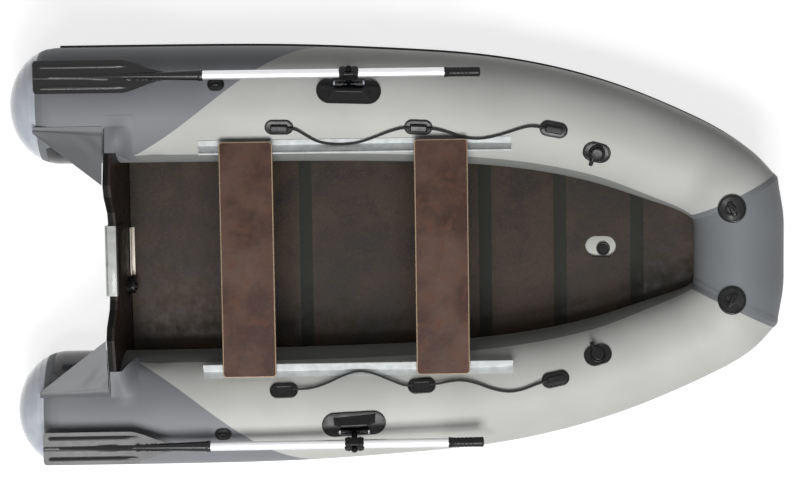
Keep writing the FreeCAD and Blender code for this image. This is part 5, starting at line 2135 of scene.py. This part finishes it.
LIFE_LINES = (
    LifeLine("port_life_line_aft", 0.461, (
        (-384.8, 464.3, 408.5), (-360.8, 463.9, 408.5), (-325, 441, 394), (-278, 412, 373), (-208, 402, 364),
        (-139, 408, 368), (-83, 426, 381), (-33, 446, 392), (20.6, 461.2, 397.5), (44.6, 459.9, 397.5))),
    LifeLine("port_life_line_fore", 0.4323, (
        (106.5, 456.6, 397.5), (130.4, 455.3, 397.5), (177, 444, 388), (224, 426, 380), (275, 416, 375),
        (327, 420, 379), (381, 434, 386), (430, 450, 391), (469, 460, 394), (501.6, 457.0, 395.5),
        (525.1, 452.0, 395.5))),
    LifeLine("starboard_life_line_aft", 0.4535, (
        (-384.8, -464.3, 408.5), (-360.8, -463.9, 408.5), (-314, -462, 403), (-263, -447, 395), (-209, -423, 381),
        (-149, -405, 366), (-89, -417, 375), (-33, -440, 389), (20.6, -461.2, 397.5), (44.6, -459.9, 397.5))),
    LifeLine("starboard_life_line_fore", 0.4317, (
        (106.5, -456.6, 397.5), (130.4, -455.3, 397.5), (171, -448, 390), (222, -443, 388), (277, -456, 393),
        (334, -479, 397), (390, -489, 398), (435, -482, 396), (471, -469, 395), (501.6, -457.0, 395.5),
        (525.1, -452.0, 395.5))),
)


def seen_plainly(tree: Tree) -> Socket:
    """Tell the rays that show the white surroundings from those that light the boat.

    Args:
        tree: Node tree that takes the nodes.

    Returns:
        1 for the camera's, glossy and transmission rays, else 0.
    """
    rays = add(tree, "LightPath", {}).node.outputs
    seen = add(tree, "Math", {0: rays["Is Camera Ray"], 1: rays["Is Glossy Ray"]}, operation="MAXIMUM")
    return add(tree, "Math", {0: seen, 1: rays["Is Transmission Ray"]}, operation="MAXIMUM")


@dataclass(frozen=True)
class PaleFloor(Finish):
    """Plain pale studio floor: reads white to the camera and in reflections, and keeps the shadow."""

    name: str = "studio_floor_matt_paint"
    colour: str = "#B8B8B8"
    roughness: float = 0.9
    glow: float = 0.78

    def inputs(self, tree: Tree) -> Inputs:
        """Add the glow that only the camera and clear reflections see.

        Args:
            tree: The material's node tree.

        Returns:
            Values and sockets for the shader's inputs.
        """
        return {"Base Color": linear(self.colour), "Emission Color": WHITE,
                "Emission Strength": add(tree, "Math", {0: seen_plainly(tree), 1: self.glow},
                                         operation="MULTIPLY")}


@dataclass
class Studio:
    """Pale floor, soft lamps, white surroundings and the camera at the photograph's angle."""

    floor_m: float = 60.0
    lamps: Sequence[tuple[str, Triple, float, float]] = (  # name, place, watts, side of the square in metres
        ("key_softbox", (0.3, -5.4, 8.8), 730.0, 4.2), ("upper_softbox", (-1.95, -1.9, 7.0), 80.0, 1.1))
    aim: Triple = (0.0, 0.0, 0.2)
    world_strength: float = 0.10
    camera_place: Triple = (-0.11687, 0.72564, 7.99304)
    camera_deg: Triple = (-5.23754513, -1.00137757, -0.7959074)
    lens_mm: float = 96.696
    sensor_mm: float = 36.0

    def floor(self) -> None:
        """Lay the floor just under the boat."""
        floor = moved(primitive("plane", size=self.floor_m), (0, 0, -0.0002))
        floor.name = "studio_floor"
        floor.data.materials.append(PaleFloor().material())

    def hang_lamps(self) -> None:
        """Hang the square soft lamps, aimed at the boat."""
        for name, place, watts, size_m in self.lamps:
            data = bpy.data.lights.new(name, "AREA")
            data.energy, data.size = watts, size_m
            lamp = bpy.data.objects.new(name, data)
            lamp.location = Vector(place)
            lamp.rotation_euler = (Vector(self.aim) - Vector(place)).to_track_quat("-Z", "Y").to_euler()
            bpy.context.collection.objects.link(lamp)

    def world(self) -> None:
        """Light the boat with plain white surroundings."""
        world = bpy.data.worlds.new("studio_white")
        world.use_nodes = True
        tree = world.node_tree
        tree.nodes.clear()
        strength = add(tree, "Math", {0: seen_plainly(tree), 1: 1.0 - self.world_strength, 2: self.world_strength},
                       operation="MULTIPLY_ADD")
        add(tree, "OutputWorld", {"Surface": add(tree, "Background", {"Color": WHITE, "Strength": strength})})
        bpy.context.scene.world = world

    def camera(self) -> None:
        """Set up the camera where the photograph was taken from."""
        data = bpy.data.cameras.new("photo_camera")
        data.lens, data.sensor_width, data.sensor_fit = self.lens_mm, self.sensor_mm, "HORIZONTAL"
        data.clip_end = 200.0
        camera = bpy.data.objects.new("photo_camera", data)
        camera.location = Vector(self.camera_place)
        camera.rotation_euler = Euler([math.radians(value) for value in self.camera_deg], "XYZ")
        bpy.context.collection.objects.link(camera)
        bpy.context.scene.camera = camera

    def build(self) -> None:
        """Set up the whole studio."""
        self.floor()
        self.hang_lamps()
        self.world()
        self.camera()
        bpy.context.scene.view_settings.view_transform = "Standard"


def main() -> None:
    """Build every sub-assembly, then the studio."""
    logging.basicConfig(level=logging.INFO, format="%(name)s: %(message)s")
    path = TubePath()
    side_run, bow = MitredSide(), MitredBow()
    Tubes(side_run, bow).build()
    Fittings(path, side_run, bow).build()
    Bottom().build()
    Transom(path).build()
    Seats().build()
    for side in Side:
        rowlock = Rowlock(path, side)
        rowlock.build()
        Oar(side, rowlock).build()
    for line in LIFE_LINES:
        line.build()
    Studio().build()


if __name__ == "__main__":
    main()
